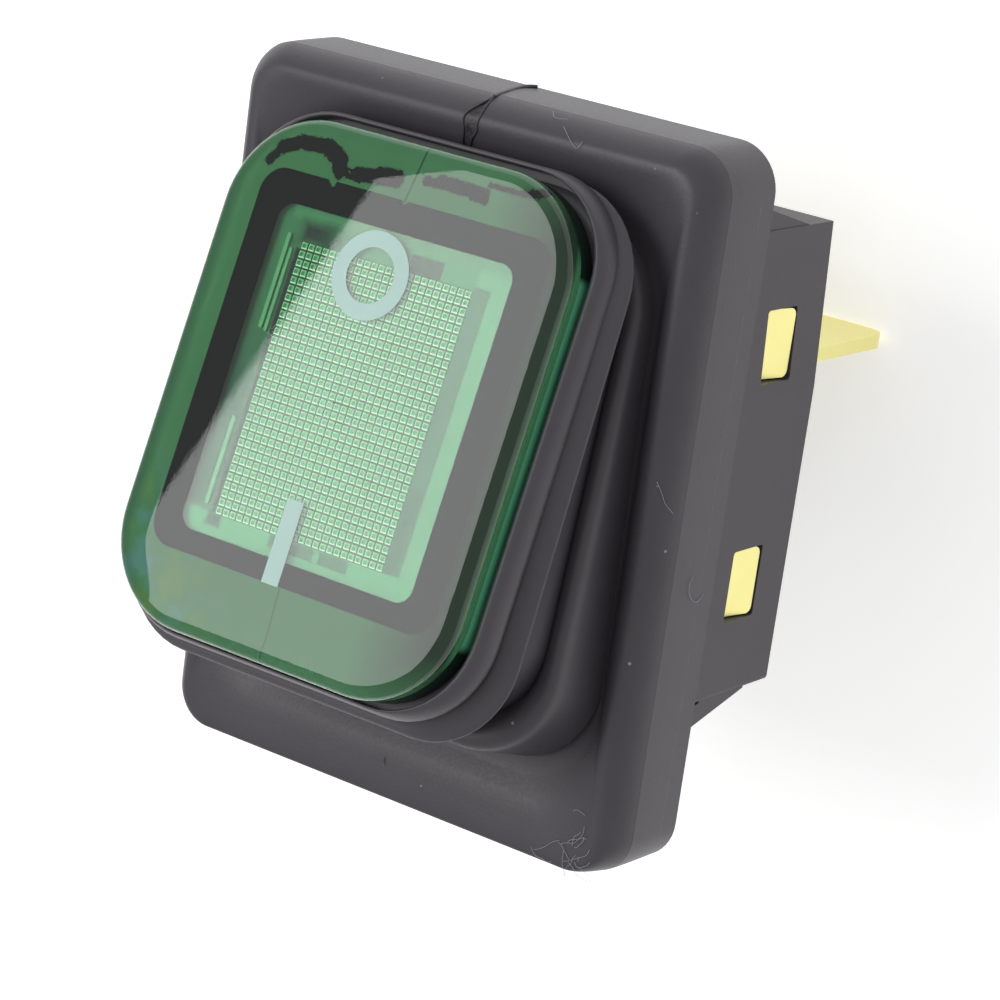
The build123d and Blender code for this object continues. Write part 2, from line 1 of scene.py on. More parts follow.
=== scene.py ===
# %% [markdown]
# # A lamp-lit rocker switch under a rubber boot
# The object is a splash-proof panel switch: a black rubber flange about 30 by 38 mm, a folded
# bellows, and a clear green tile that rocks between O and I. The CAD model gives every size and
# every moving body. This lesson gives it its looks: smooth rubber folds, a prismatic lens under the
# tile, ink, brass, and the light of a plain studio.

# %% Load the frame
import math

import bpy
import numpy as np
from mathutils import Matrix, Vector


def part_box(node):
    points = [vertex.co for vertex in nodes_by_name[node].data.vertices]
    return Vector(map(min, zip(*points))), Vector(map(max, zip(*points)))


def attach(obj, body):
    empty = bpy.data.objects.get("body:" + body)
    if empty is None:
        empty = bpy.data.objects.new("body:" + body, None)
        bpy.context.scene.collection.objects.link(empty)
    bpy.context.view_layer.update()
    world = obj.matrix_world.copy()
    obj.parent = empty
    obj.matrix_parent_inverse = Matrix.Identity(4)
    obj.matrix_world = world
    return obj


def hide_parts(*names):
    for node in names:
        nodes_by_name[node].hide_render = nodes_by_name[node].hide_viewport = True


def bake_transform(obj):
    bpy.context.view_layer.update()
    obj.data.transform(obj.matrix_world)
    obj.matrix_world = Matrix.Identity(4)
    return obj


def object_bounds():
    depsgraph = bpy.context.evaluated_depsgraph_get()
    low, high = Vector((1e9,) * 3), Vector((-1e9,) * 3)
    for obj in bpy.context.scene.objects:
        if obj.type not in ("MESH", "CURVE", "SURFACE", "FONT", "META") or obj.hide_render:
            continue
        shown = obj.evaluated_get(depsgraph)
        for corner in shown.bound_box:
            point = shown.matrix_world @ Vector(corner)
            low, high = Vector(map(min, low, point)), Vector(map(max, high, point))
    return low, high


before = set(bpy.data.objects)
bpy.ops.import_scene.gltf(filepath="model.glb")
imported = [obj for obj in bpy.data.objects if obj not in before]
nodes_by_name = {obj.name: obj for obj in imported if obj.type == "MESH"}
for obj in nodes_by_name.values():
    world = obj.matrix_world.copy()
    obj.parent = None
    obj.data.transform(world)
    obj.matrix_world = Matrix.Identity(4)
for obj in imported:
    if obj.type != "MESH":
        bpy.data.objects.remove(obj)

MM = 0.001
cad_low, cad_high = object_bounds()

# %% [markdown]
# ## The camera
# The photograph was taken with a long lens from the front right, a little above, so its lines hardly
# converge. The camera stands where the corners of the flange, the tile and the housing all fall on
# their places in the picture. Three directions say how it is turned: right, up, and back.

# %% Place the camera
camera = bpy.data.objects.new("camera", bpy.data.cameras.new("camera"))
bpy.context.scene.collection.objects.link(camera)
bpy.context.scene.camera = camera
camera.data.sensor_width = 36.0
camera.data.lens = 127.63
camera.data.clip_start = 0.01
camera.data.clip_end = 10.0
camera_right = Vector((0.79892, 0.13365, -0.58640))
camera_up = Vector((-0.26738, 0.95228, -0.14723))
camera_back = Vector((0.53874, 0.27442, 0.79653))
turned = Matrix((camera_right, camera_up, camera_back)).transposed().to_4x4()
camera.matrix_world = Matrix.Translation(Vector((0.101293, 0.048047, 0.147628))) @ turned
print("camera", [round(v, 4) for v in camera.location])

# %% [markdown]
# ## The rocker's own frame
# Everything on the rocker is drawn level, with the hinge as its origin, and is then turned by 18
# degrees about the hinge, because the O end is pressed. The rings of the bellows turn by a share of
# that, so one function turns an array of points about the hinge by any angle.

# %% Turn about the hinge
HINGE_Z = 1.1
REST_TILT = -18.0


def about_hinge(points, degrees):
    """Level points in mm from the hinge, turned about X by an angle, then lifted to the hinge."""
    angle = math.radians(degrees)
    x, y, z = np.moveaxis(np.asarray(points, float), -1, 0)
    turned_y = y * math.cos(angle) - z * math.sin(angle)
    turned_z = y * math.sin(angle) + z * math.cos(angle) + HINGE_Z
    return np.stack([x, turned_y, turned_z], axis=-1)


def in_rocker(points):
    """Points of the level rocker carried to the rest position."""
    return about_hinge(points, REST_TILT)


# %% [markdown]
# ## Surfaces from arrays
# A moulded ring is a closed outline carried round a rounded rectangle. Each level of the outline is
# one rounded rectangle with its own half width, half length and corner, so the whole surface is a
# table of loops, and quads join each loop to the next.

# %% Rounded loops and skins
def rounded_loops(half_x, half_y, corner, arc=12, straight=14):
    """One rounded rectangle per level, with even steps along its straight sides.

    A corner is its centre plus the radius times the cosine and the sine of the angle.
    """
    hx, hy, r = (np.asarray(v, float).reshape(-1, 1) for v in (half_x, half_y, corner))
    arcs = []
    for side_x, side_y, start in ((1, 1, 0), (-1, 1, 90), (-1, -1, 180), (1, -1, 270)):
        angle = np.radians(start + np.linspace(0, 90, arc))
        x = side_x * (hx - r) + r * np.cos(angle)
        y = side_y * (hy - r) + r * np.sin(angle)
        arcs.append(np.stack([x, y], axis=-1))
    steps = np.linspace(0, 1, straight + 2)[1:-1].reshape(1, -1, 1)
    parts = []
    for here, there in zip(arcs, arcs[1:] + arcs[:1]):
        parts.append(here)
        parts.append(here[:, -1:] + (there[:, :1] - here[:, -1:]) * steps)
    return np.concatenate(parts, axis=1)


def soften(outline, rounds=3):
    """Corners cut on a closed outline: each edge keeps its points at one and three quarters."""
    outline = np.asarray(outline, float)
    for _ in range(rounds):
        following = np.roll(outline, -1, axis=0)
        quarter = outline * 0.75 + following * 0.25
        three_quarters = outline * 0.25 + following * 0.75
        outline = np.stack([quarter, three_quarters], axis=1).reshape(-1, outline.shape[1])
    return outline


def outward(points, faces):
    """Faces turned so that the enclosed volume, a sum of triple products, is positive."""
    a, b, c, d = (points[faces[:, i]] for i in range(4))
    volume = np.einsum("ij,ij->i", a, np.cross(b, c)) + np.einsum("ij,ij->i", a, np.cross(c, d))
    return faces if volume.sum() > 0 else faces[:, ::-1]


def add_piece(name, points, faces, sharp=40.0):
    """A mesh object at the origin from points in mm and faces, smooth except where it bends sharply."""
    mesh = bpy.data.meshes.new(name)
    mesh.from_pydata((np.asarray(points).reshape(-1, 3) * MM).tolist(), [], [list(f) for f in faces])
    mesh.shade_smooth()
    mesh.set_sharp_from_angle(angle=math.radians(sharp))
    piece = bpy.data.objects.new(name, mesh)
    bpy.context.scene.collection.objects.link(piece)
    print(name, "faces", len(mesh.polygons))
    return piece


def skin(name, loops, sharp=40.0):
    """A closed ring: quads along each loop and from loop to loop, the last joined to the first."""
    rows, columns = loops.shape[:2]
    index = np.arange(rows * columns).reshape(rows, columns)
    beside = np.roll(index, -1, axis=1)
    above = np.roll(index, -1, axis=0)
    corner = np.roll(beside, -1, axis=0)
    points = loops.reshape(-1, 3)
    faces = outward(points, np.stack([index, beside, corner, above], axis=-1).reshape(-1, 4))
    return add_piece(name, points, faces.tolist(), sharp)


def raised(flat, heights):
    """Flat loops given one height each."""
    levels = np.broadcast_to(np.reshape(heights, (-1, 1, 1)), flat.shape[:2] + (1,))
    return np.concatenate([flat, levels], axis=-1)


def moulded_ring(name, outline, turn):
    """A closed outline softened, made into loops and turned about the hinge.

    Each row holds a half width, half length, corner and height. A fifth number moves it to the I end.
    """
    rows = soften(outline)
    flat = rounded_loops(rows[:, 0], rows[:, 1], rows[:, 2])
    if rows.shape[1] > 4:
        flat = flat - np.stack([0 * rows[:, 4], rows[:, 4]], axis=-1)[:, None]
    return skin(name, about_hinge(raised(flat, rows[:, 3]), turn))


# %% [markdown]
# ## The rubber boot
# On the real switch the boot is one moulding whose folds pack together at the pressed end. Rubber
# can't be shown folding with rigid pieces alone, so the boot is made as four rings that slide inside
# each other: the flange, the lower tier, the neck with its lip, and the rim that grips the tile. Each
# turns by its own share of the rocker's angle, and the folds between them hide the joins.

# %% The flange
def twice(*row):
    """The same outline row two times, which keeps a corner crisp when the outline is softened."""
    return [row, row]


flange_outline = (
    twice(15.0, 18.85, 2.4, -1.1, 0)
    + [(14.98, 18.83, 2.4, 1.5, 0)]
    + twice(14.92, 18.78, 2.35, 2.7, 0)
    + [(14.78, 18.7, 2.3, 3.15, 0.04), (14.52, 18.58, 2.2, 3.62, 0.16), (14.2, 18.4, 2.0, 4.02, 0.3)]
    + [(13.85, 18.22, 1.9, 4.3, 0.44), (13.5, 17.92, 2.0, 4.36, 0.52), (13.2, 17.2, 2.4, 4.3, 0.3)]
    + [(12.9, 16.1, 3.4, 4.1, 0), (12.6, 15.3, 4.2, 3.78, 0), (12.3, 14.6, 4.6, 3.5, 0)]
    + twice(11.3, 13.2, 4.0, 3.35, 0)
    + twice(11.6, 13.5, 3.0, 2.42, 0)
    + twice(12.9, 16.2, 1.9, 2.42, 0)
    + twice(12.9, 16.2, 1.9, -0.3, 0)
    + twice(10.85, 13.15, 1.0, -0.3, 0)
    + twice(10.85, 13.15, 1.0, -1.1, 0)
)
boot_flange = moulded_ring("boot_flange", flange_outline, 0.0)
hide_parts("rubber_boot")
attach(boot_flange, "housing")

# %% The lower tier
tier_outline = (
    twice(12.3, 14.25, 4.9, 2.2)
    + [(12.12, 14.1, 4.9, 3.4), (12.02, 14.0, 4.9, 4.8), (11.95, 13.93, 4.9, 5.5)]
    + [(11.78, 13.78, 4.9, 5.92), (11.45, 13.5, 4.9, 6.12), (11.1, 13.1, 4.9, 6.1), (10.85, 12.9, 4.9, 5.9)]
    + twice(10.4, 12.2, 4.2, 5.3)
    + twice(11.2, 13.1, 4.2, 4.3)
    + twice(11.4, 13.3, 4.2, 2.2)
)
TIER_SHARE = 0.45
boot_tier = moulded_ring("boot_tier", tier_outline, REST_TILT * TIER_SHARE)

# %% The neck and its lip
lip_outline = (
    twice(10.9, 12.8, 4.9, 3.4)
    + [(10.9, 12.8, 4.9, 7.4), (11.1, 13.0, 4.9, 8.2), (11.75, 13.6, 4.9, 8.75)]
    + [(12.2, 14.05, 4.9, 8.98), (12.36, 14.2, 4.9, 9.2), (12.22, 14.08, 4.9, 9.4)]
    + [(11.9, 13.85, 4.9, 9.58), (11.5, 13.6, 4.9, 9.82), (11.2, 13.3, 4.8, 9.95)]
    + twice(10.6, 12.8, 4.6, 9.9)
    + twice(10.1, 12.0, 4.2, 9.0)
    + twice(10.1, 12.0, 4.2, 3.4)
)
LIP_SHARE = 0.85
boot_lip = moulded_ring("boot_lip", lip_outline, REST_TILT * LIP_SHARE)

# %% The rim round the tile
rim_outline = (
    twice(11.1, 13.5, 4.95, 8.9)
    + [(11.15, 13.6, 4.95, 9.55), (11.5, 13.88, 5.0, 9.75), (11.62, 13.96, 5.0, 10.05), (11.58, 13.93, 5.0, 10.45)]
    + [(11.42, 13.85, 5.0, 10.85), (11.2, 13.76, 4.95, 11.12), (11.0, 13.68, 4.85, 11.2)]
    + twice(10.84, 13.62, 4.7, 11.12)
    + twice(10.84, 13.62, 4.7, 10.36)
    + twice(9.9, 12.4, 4.0, 10.36)
    + twice(9.9, 12.4, 4.0, 8.9)
)
boot_rim = moulded_ring("boot_rim", rim_outline, REST_TILT)

# %% [markdown]
# The tier's and the lip's transforms are baked into their meshes, and the rim rides on the rocker.

# %% Bake the rings and attach the rim
def follow_by_share(piece):
    """The piece's transform baked into its mesh.
    """
    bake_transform(piece)


for ring, share in ((boot_tier, TIER_SHARE), (boot_lip, LIP_SHARE)):
    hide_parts("rubber_boot")
    follow_by_share(ring)
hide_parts("rubber_boot")
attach(boot_rim, "rocker")

# %% [markdown]
# ## The clear tile
# The tile is clear green plastic with a flat face, a softly rounded edge and a short wall. Seen through the face, the
# margin outside the printed frame is an even green, and seen from the side the wall goes nearly black, because a long
# way through the plastic takes the light. So the tile is made in three layers: a clear slab, a green layer set slightly
# into the underside of its margin, and a dark skirt round the lens, whose dark colour is painted shade standing in for
# that near-black wall.

# %% The tile
TILE_TOP = 12.95
TILE_UNDER = 11.8
TILE_EDGE = 0.72
TILE_HALF = (10.65, 13.35)
TILE_CORNER = 5.2
TILE_MIDDLE = (0.0, -0.12)


def tile_ring(name, rows):
    """A ring-shaped piece of the tile from (half width, half length, corner, height) rows."""
    rows = np.array(rows)
    flat = rounded_loops(rows[:, 0], rows[:, 1], rows[:, 2], arc=18, straight=10) + np.array(TILE_MIDDLE)
    piece = skin(name, in_rocker(raised(flat, rows[:, 3])), 50.0)
    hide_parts("green_cap")
    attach(piece, "rocker")
    return piece


def inset(by, height):
    """One loop of the tile's outline, drawn in by a distance, at a height."""
    return (TILE_HALF[0] - by, TILE_HALF[1] - by, max(TILE_CORNER - by, 0.005), height)


edge = np.radians(np.linspace(0, 90, 10))
slab_rows = [inset(0.03, TILE_UNDER), inset(0.0, TILE_UNDER + 0.05)]
slab_rows += [
    inset(TILE_EDGE * (1 - across), TILE_TOP - TILE_EDGE + TILE_EDGE * up)
    for across, up in zip(np.cos(edge), np.sin(edge))]
middle_rows = [(8.5, 11.1, 2.4), (5.0, 7.0, 1.4), (2.0, 3.0, 0.6), (0.02, 0.03, 0.005)]
slab_rows += [row + (TILE_TOP,) for row in middle_rows] + [row + (TILE_UNDER,) for row in middle_rows[::-1]]
cap_tile = tile_ring("cap_tile", slab_rows)
LAYER_LOW, LAYER_TOP = 11.5, TILE_UNDER + 0.02
LAYER_HOLE = (7.95, 9.45, 0.9)
SKIRT_LOW, SKIRT_STEP, SKIRT_TOP = 10.45, 11.0, 11.48
cap_layer = tile_ring("cap_layer", [
    inset(0.06, LAYER_LOW), inset(0.06, LAYER_TOP), LAYER_HOLE + (LAYER_TOP,), LAYER_HOLE + (LAYER_LOW,)])
cap_skirt = tile_ring("cap_skirt", [
    inset(0.05, SKIRT_LOW), inset(0.05, SKIRT_TOP), inset(2.2, SKIRT_TOP),
    inset(2.2, SKIRT_STEP), inset(1.35, SKIRT_STEP), inset(1.35, SKIRT_LOW)])

# %% [markdown]
# ## The prismatic lens
# Under the tile the lens is covered with small square prisms that break up the lamp. A grid has six
# uneven steps to a cell, and the height over a cell is a pyramid cut off flat: it rises from the cell's
# edge by the distance to the nearest side and stops at a plateau.

# %% The prism field
FIELD_MIDDLE = (-0.19, -0.1)
FIELD_HALF = (5.36, 7.18)
CELLS = (24, 32)
CELL_STEPS = np.array([0.0, 0.07, 0.27, 0.5, 0.73, 0.93])
PRISM_FOOT = 11.5
PRISM_RISE = 0.09
PRISM_GROOVE, PRISM_BEVEL = 0.06, 0.2
LENS_BASE = 10.9
cell, cell_length = (half * 2 / count for half, count in zip(FIELD_HALF, CELLS))


def cell_lines(count, half):
    """Where the grid lines run: the same uneven steps in every cell, one at each bevel's top and foot."""
    steps = (np.arange(count).reshape(-1, 1) + CELL_STEPS).ravel()
    return np.append(steps, count) * (2 * half / count) - half


field_x = cell_lines(CELLS[0], FIELD_HALF[0])
field_y = cell_lines(CELLS[1], FIELD_HALF[1])
grid_x, grid_y = np.meshgrid(field_x, field_y, indexing="ij")
near_x = 0.5 - np.abs((grid_x / cell + CELLS[0] / 2) % 1 - 0.5)
near_y = 0.5 - np.abs((grid_y / cell + CELLS[1] / 2) % 1 - 0.5)
rise = np.clip((np.minimum(near_x, near_y) - PRISM_GROOVE) / PRISM_BEVEL, 0, 1)
prism_height = PRISM_FOOT + PRISM_RISE * rise
field_top = np.stack([grid_x + FIELD_MIDDLE[0], grid_y + FIELD_MIDDLE[1], prism_height], axis=-1)
field_base = field_top.copy()
field_base[..., 2] = LENS_BASE


def slab(name, top, base):
    """A closed slab from a top grid and a base grid: quads on both, and a wall of quads round the border."""
    rows, columns = top.shape[:2]
    index = np.arange(rows * columns).reshape(rows, columns)
    upper = np.stack([index[:-1, :-1], index[1:, :-1], index[1:, 1:], index[:-1, 1:]], axis=-1).reshape(-1, 4)
    lower = upper[:, ::-1] + rows * columns
    border = np.concatenate([index[:-1, 0], index[-1, :-1], index[:0:-1, -1], index[0, :0:-1]])
    following = np.roll(border, -1)
    wall = np.stack([border, border + rows * columns, following + rows * columns, following], axis=-1)
    points = np.concatenate([top.reshape(-1, 3), base.reshape(-1, 3)])
    faces = outward(points, np.concatenate([upper, lower, wall]))
    return add_piece(name, points, faces.tolist(), 20.0)


prism_field = slab("prism_field", in_rocker(field_top), in_rocker(field_base))
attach(prism_field, "rocker")

# %% [markdown]
# Round the prisms the lens is a flat frame with two low rails on its left side. Its finish later paints darker zones on
# it round the prisms; the dark band in the gap beside them on the left and the strip on their right are painted shade.

# %% The frame of the lens
def film(name, half_x, half_y, corner, height, middle=(0.0, 0.0), thick=0.01):
    """A thin closed sheet with rounded corners, parallel to the tile's face."""
    steps = np.array([1.0, 0.75, 0.5, 0.25, 0.002])
    size = np.concatenate([steps, steps[::-1]])
    level = np.concatenate([np.full(5, height), np.full(5, height - thick)])
    flat = rounded_loops(half_x * size, half_y * size, corner * size, arc=10, straight=6)
    return skin(name, in_rocker(raised(flat + np.array(middle), level)), 60.0)


lens_frame = film("lens_frame", 7.93, 9.43, 0.88, PRISM_FOOT - 0.02, TILE_MIDDLE, 0.3)
rail_long = film("lens_rail_long", 0.11, 2.5, 0.1, PRISM_FOOT + 0.16, (-6.35, 4.8), 0.2)
rail_short = film("lens_rail_short", 0.09, 2.2, 0.08, PRISM_FOOT + 0.12, (-6.03, 4.4), 0.2)
rail_low = film("lens_rail_low", 0.12, 2.3, 0.1, PRISM_FOOT + 0.1, (-6.2, -4.6), 0.2)
for piece in (lens_frame, rail_long, rail_short, rail_low):
    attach(piece, "rocker")

# %% [markdown]
# ## The ink under the tile's face
# The black frame, the O ring and the I bar are printed on the underside of the face, so they lie just
# inside the clear slab and are seen through the green plastic. The black film's material is clear
# wherever there is no ink. The ring and the bar are white ink on films of their own, so their edges
# stay crisp.

# %% Ink films
black_print = film("black_print", 10.2, 12.9, 3.9, TILE_UNDER + 0.04, TILE_MIDDLE)
turn = np.linspace(0, 2 * np.pi, 97)[:-1]
ring_rows = np.array([(2.27, 0.07), (1.42, 0.07), (1.42, 0.055), (2.27, 0.055)])
RING_MIDDLE = (-0.72, 6.36)
ring_points = np.stack([
    RING_MIDDLE[0] + ring_rows[:, :1] * np.cos(turn),
    RING_MIDDLE[1] + ring_rows[:, :1] * np.sin(turn),
    TILE_UNDER + np.broadcast_to(ring_rows[:, 1:], (4, 96)),
], axis=-1)
white_ring = skin("white_ring", in_rocker(ring_points), 60.0)
white_bar = film("white_bar", 0.52, 2.17, 0.04, TILE_UNDER + 0.07, (-0.79, -7.47), 0.015)
for piece in (black_print, white_ring, white_bar):
    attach(piece, "rocker")

# %% [markdown]
# ## Mould flash and lint
# A thin skin of rubber stands along the mould seam at the O end, wrinkled where it crosses the front
# edge. Fine fibres of lint lie on the rubber. All of them are threads: a path through a few points,
# smoothed by corner cutting, with a small circle carried along it.

# %% Threads
def tube_quads(rows, sides):
    """Quads between neighbouring circles of a tube, and the index of each point."""
    index = np.arange(rows * sides).reshape(rows, sides)
    beside = np.roll(index, -1, axis=1)
    return np.stack([index[:-1], beside[:-1], beside[1:], index[1:]], axis=-1).reshape(-1, 4), index


def smooth_path(points, rounds=3):
    """An open path in mm with its corners cut at the quarters of each edge, and its ends kept."""
    path = np.asarray(points, float)
    for _ in range(rounds):
        here, there = path[:-1], path[1:]
        cut = np.stack([here * 0.75 + there * 0.25, here * 0.25 + there * 0.75], axis=1)
        path = np.concatenate([path[:1], cut.reshape(-1, 3), path[-1:]])
    return path


def thread(points, radius, sides=6):
    """A tube along a smoothed path: two directions square to the path carry its circle."""
    path = smooth_path(points)
    along = np.gradient(path, axis=0)
    along /= np.linalg.norm(along, axis=1, keepdims=True)
    side = np.cross(along, (0.31, 0.22, 0.92))
    side /= np.linalg.norm(side, axis=1, keepdims=True)
    up = np.cross(side, along)
    turn = np.linspace(0, 2 * np.pi, sides + 1)[:-1].reshape(1, -1, 1)
    width = np.full(len(path), float(radius))
    width[[0, -1]] = radius * 0.02
    tube = path[:, None] + width[:, None, None] * (np.cos(turn) * side[:, None] + np.sin(turn) * up[:, None])
    faces, index = tube_quads(len(path), sides)
    points = tube.reshape(-1, 3)
    caps = [index[0].tolist(), index[-1][::-1].tolist()]
    return points, outward(points, faces).tolist(), caps


def add_threads(name, threads):
    """Several threads joined as one piece that rides on the housing."""
    points, faces, start = [], [], 0
    for tube, quads, caps in threads:
        points.append(tube)
        faces += [[i + start for i in face] for face in quads + caps]
        start += len(tube)
    piece = add_piece(name, np.concatenate(points), faces, 70.0)
    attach(piece, "housing")
    return piece


flash_wall = [
    (0.3, 18.92, 0.15), (-0.05, 18.9, 0.6), (-0.05, 18.86, 1.4), (0.25, 18.84, 2.6), (0.5, 18.82, 3.6),
    (0.6, 18.72, 4.25)]
flash_left = [
    (0.58, 18.7, 4.3), (0.45, 18.45, 4.75), (0.15, 18.12, 5.17), (-0.17, 17.8, 5.44), (-0.25, 17.4, 5.49),
    (-0.1, 16.9, 5.43), (-0.2, 16.4, 5.32), (-0.16, 15.9, 5.14)]
flash_right = [
    (0.6, 18.7, 4.3), (0.7, 18.25, 5.02), (0.74, 17.85, 5.4), (0.64, 17.4, 5.49), (0.7, 17.0, 5.45),
    (0.36, 16.6, 5.38), (0.3, 16.2, 5.26), (-0.12, 15.9, 5.14)]
boot_flash = add_threads(
    "boot_flash", [thread(flash_wall, 0.09), thread(flash_left, 0.055), thread(flash_right, 0.055)])
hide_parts("rubber_boot")

rng = np.random.default_rng(7)
fibres = []
for _ in range(13):
    start = np.array([rng.uniform(11.6, 13.6), rng.uniform(-18.5, -17.2), 5.5])
    heading = rng.uniform(0, 2 * np.pi) + np.cumsum(rng.uniform(-0.9, 0.9, 6))
    steps = np.stack([np.cos(heading), np.sin(heading), rng.uniform(-0.12, 0.12, 6)], axis=-1)
    steps = steps * rng.uniform(0.18, 0.42)
    fibres.append(thread(start + np.cumsum(steps, axis=0), 0.011, 5))
for path in (
    [(14.05, 2.5, 5.35), (14.3, 1.9, 5.1), (14.4, 1.4, 4.9), (14.75, 0.9, 4.5)],
    [(4.3, 18.75, 4.35), (4.7, 18.5, 4.8), (5.4, 18.6, 4.6)],
    [(5.5, 18.3, 5.05), (6.3, 17.8, 5.5), (6.8, 17.4, 5.55), (7.0, 17.9, 5.45)],
    [(15.02, -2.6, 2.2), (15.05, -3.2, 2.5), (15.03, -3.9, 2.1), (15.05, -4.2, 1.4), (15.03, -3.8, 0.9)],
    [(11.9, -15.6, 5.2), (12.3, -15.3, 5.3), (12.9, -15.4, 5.45)],
):
    fibres.append(thread(path, 0.012, 5))
lint_fibres = add_threads("lint_fibres", fibres)

# %% [markdown]
# ## Springs
# Wire springs are tubes along a helix. The helix turns evenly and climbs evenly, with a flat closed
# turn at each end, and the tube's circle stands across its direction.

# %% Helical springs
def helix_tube(radius, wire, low, high, turns, centre, sides=10, per_turn=36):
    """A closed tube of a wire's radius along a helix, its height eased so that the end turns lie flat."""
    t = np.linspace(0, 1, int(turns * per_turn) + 1)
    climb = np.clip((t * turns - 0.9) / (turns - 1.8), 0, 1)
    angle = 2 * np.pi * turns * t
    line = np.stack([radius * np.cos(angle), radius * np.sin(angle), low + (high - low) * climb], axis=-1)
    line[:, 2] += 0.02 * (np.minimum(t * turns, 0.9) - np.minimum((1 - t) * turns, 0.9))
    along = np.gradient(line, axis=0)
    along /= np.linalg.norm(along, axis=1, keepdims=True)
    outwards = np.stack([np.cos(angle), np.sin(angle), np.zeros_like(angle)], axis=-1)
    across = np.cross(along, outwards)
    across /= np.linalg.norm(across, axis=1, keepdims=True)
    wrap = np.linspace(0, 2 * np.pi, sides + 1)[:-1].reshape(1, -1, 1)
    tube = line[:, None] + wire * (np.cos(wrap) * outwards[:, None] + np.sin(wrap) * across[:, None])
    tube = np.concatenate([tube[:1] * 0 + line[0], tube, tube[:1] * 0 + line[-1]])
    return tube + np.array(centre), tube_quads(tube.shape[0], sides)[0]


def add_spring(name, node, tube, faces):
    """The finished spring piece in place of its CAD node."""
    points = tube.reshape(-1, 3)
    spring = add_piece(name, points, outward(points, faces).tolist(), 60.0)
    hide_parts(node)
    return spring


PLUNGER_X = -4.8
tube, faces = helix_tube(1.05, 0.17, -1.58, 1.98, 5.0, (PLUNGER_X, 0, 0))
plunger_coil = add_spring("plunger_coil", "plunger_spring", in_rocker(tube), faces)
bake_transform(plunger_coil)
LAMP_WIRE = 0.2
coils = [plunger_coil]
for side in ("upper", "lower"):
    low, high = (np.array(v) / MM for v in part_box("lamp_spring_" + side))
    centre = ((low[0] + high[0]) / 2, (low[1] + high[1]) / 2, 0)
    tube, faces = helix_tube(1.2, LAMP_WIRE, low[2] + LAMP_WIRE, high[2] - LAMP_WIRE, 8.0, centre)
    coil = add_spring("lamp_coil_" + side, "lamp_spring_" + side, tube, faces)
    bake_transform(coil)
    coils.append(coil)

# %% [markdown]
# ## Building materials with nodes
# Every finish is a Principled shader with its own numbers, fed by shared effects. A small helper
# makes a node, sets its sockets and links, so that a material reads as a short list of steps.

# %% Node helpers
def add_node(tree, kind, settings=None, **sockets):
    """A node with its properties set and its sockets set or linked, named with _ for a space."""
    made = tree.nodes.new(kind)
    for key, value in (settings or {}).items():
        setattr(made, key, value)
    for key, value in sockets.items():
        numbered = key[1:].isdigit() and key[0] == "i"
        socket = made.inputs[int(key[1:]) if numbered else key.replace("_", " ")]
        if isinstance(value, bpy.types.NodeSocket):
            tree.links.new(value, socket)
        else:
            socket.default_value = value
    return made


def math_node(tree, operation, *values):
    """The output of one Math node."""
    sockets = {f"i{i}": value for i, value in enumerate(values)}
    return add_node(tree, "ShaderNodeMath", {"operation": operation}, **sockets).outputs[0]


def vector_node(tree, operation, output=0, **sockets):
    """The output of one Vector Math node."""
    return add_node(tree, "ShaderNodeVectorMath", {"operation": operation}, **sockets).outputs[output]


def step_mask(tree, value, low, high):
    """0 to 1 as a value goes from one limit to the other."""
    return add_node(tree, "ShaderNodeMapRange", {"clamp": True}, Value=value, From_Min=low, From_Max=high).outputs[0]


def noise_node(tree, place, scale, detail=2.0, **sockets):
    """The value and the colour of a noise."""
    return add_node(tree, "ShaderNodeTexNoise", Vector=place, Scale=scale, Detail=detail, **sockets).outputs[:2]


def pushed_about(tree, point, amount, scale, detail, **sockets):
    """A point moved by a noise, by half an amount each way at most."""
    centred = vector_node(tree, "SUBTRACT", i0=noise_node(tree, point, scale, detail, **sockets)[1], i1=(0.5, 0.5, 0.5))
    return vector_node(tree, "ADD", i0=point, i1=vector_node(tree, "SCALE", i0=centred, Scale=amount))


def axes(tree, vector):
    """The x, y and z of a vector."""
    return add_node(tree, "ShaderNodeSeparateXYZ", Vector=vector).outputs[:3]


def new_material(name):
    """An empty node material with its output, and an Object coordinate output to read."""
    material = bpy.data.materials.new(name)
    material.use_nodes = True
    tree = material.node_tree
    tree.nodes.clear()
    output = tree.nodes.new("ShaderNodeOutputMaterial")
    place = tree.nodes.new("ShaderNodeTexCoord").outputs["Object"]
    return material, tree, output, place


def new_effect(name, inputs, outputs):
    """An empty node group with named input and output sockets."""
    group = bpy.data.node_groups.new(name, "ShaderNodeTree")
    for label, kind, value in inputs:
        socket = group.interface.new_socket(name=label, in_out="INPUT", socket_type=kind)
        if value is not None:
            socket.default_value = value
    for label, kind in outputs:
        group.interface.new_socket(name=label, in_out="OUTPUT", socket_type=kind)
    return group, group.nodes.new("NodeGroupInput"), group.nodes.new("NodeGroupOutput")


def place_effect(tree, group, **sockets):
    """The group as a node in a material, with its own values."""
    return add_node(tree, "ShaderNodeGroup", {"node_tree": group}, **sockets)


def srgb(red, green, blue):
    """A colour given in 0 to 255 steps, made linear by the display's curve."""
    c = np.array([red, green, blue]) / 255.0
    linear = np.where(c <= 0.04045, c / 12.92, ((c + 0.055) / 1.055) ** 2.4)
    return (*linear.tolist(), 1.0)


# %% [markdown]
# ## Shared effects
# Moulded grain is two noises, one fine for the bump and one wide for the tone. Dust is a scatter of
# tiny specks: a Voronoi cell is a speck only where its random colour is high and its centre is near.

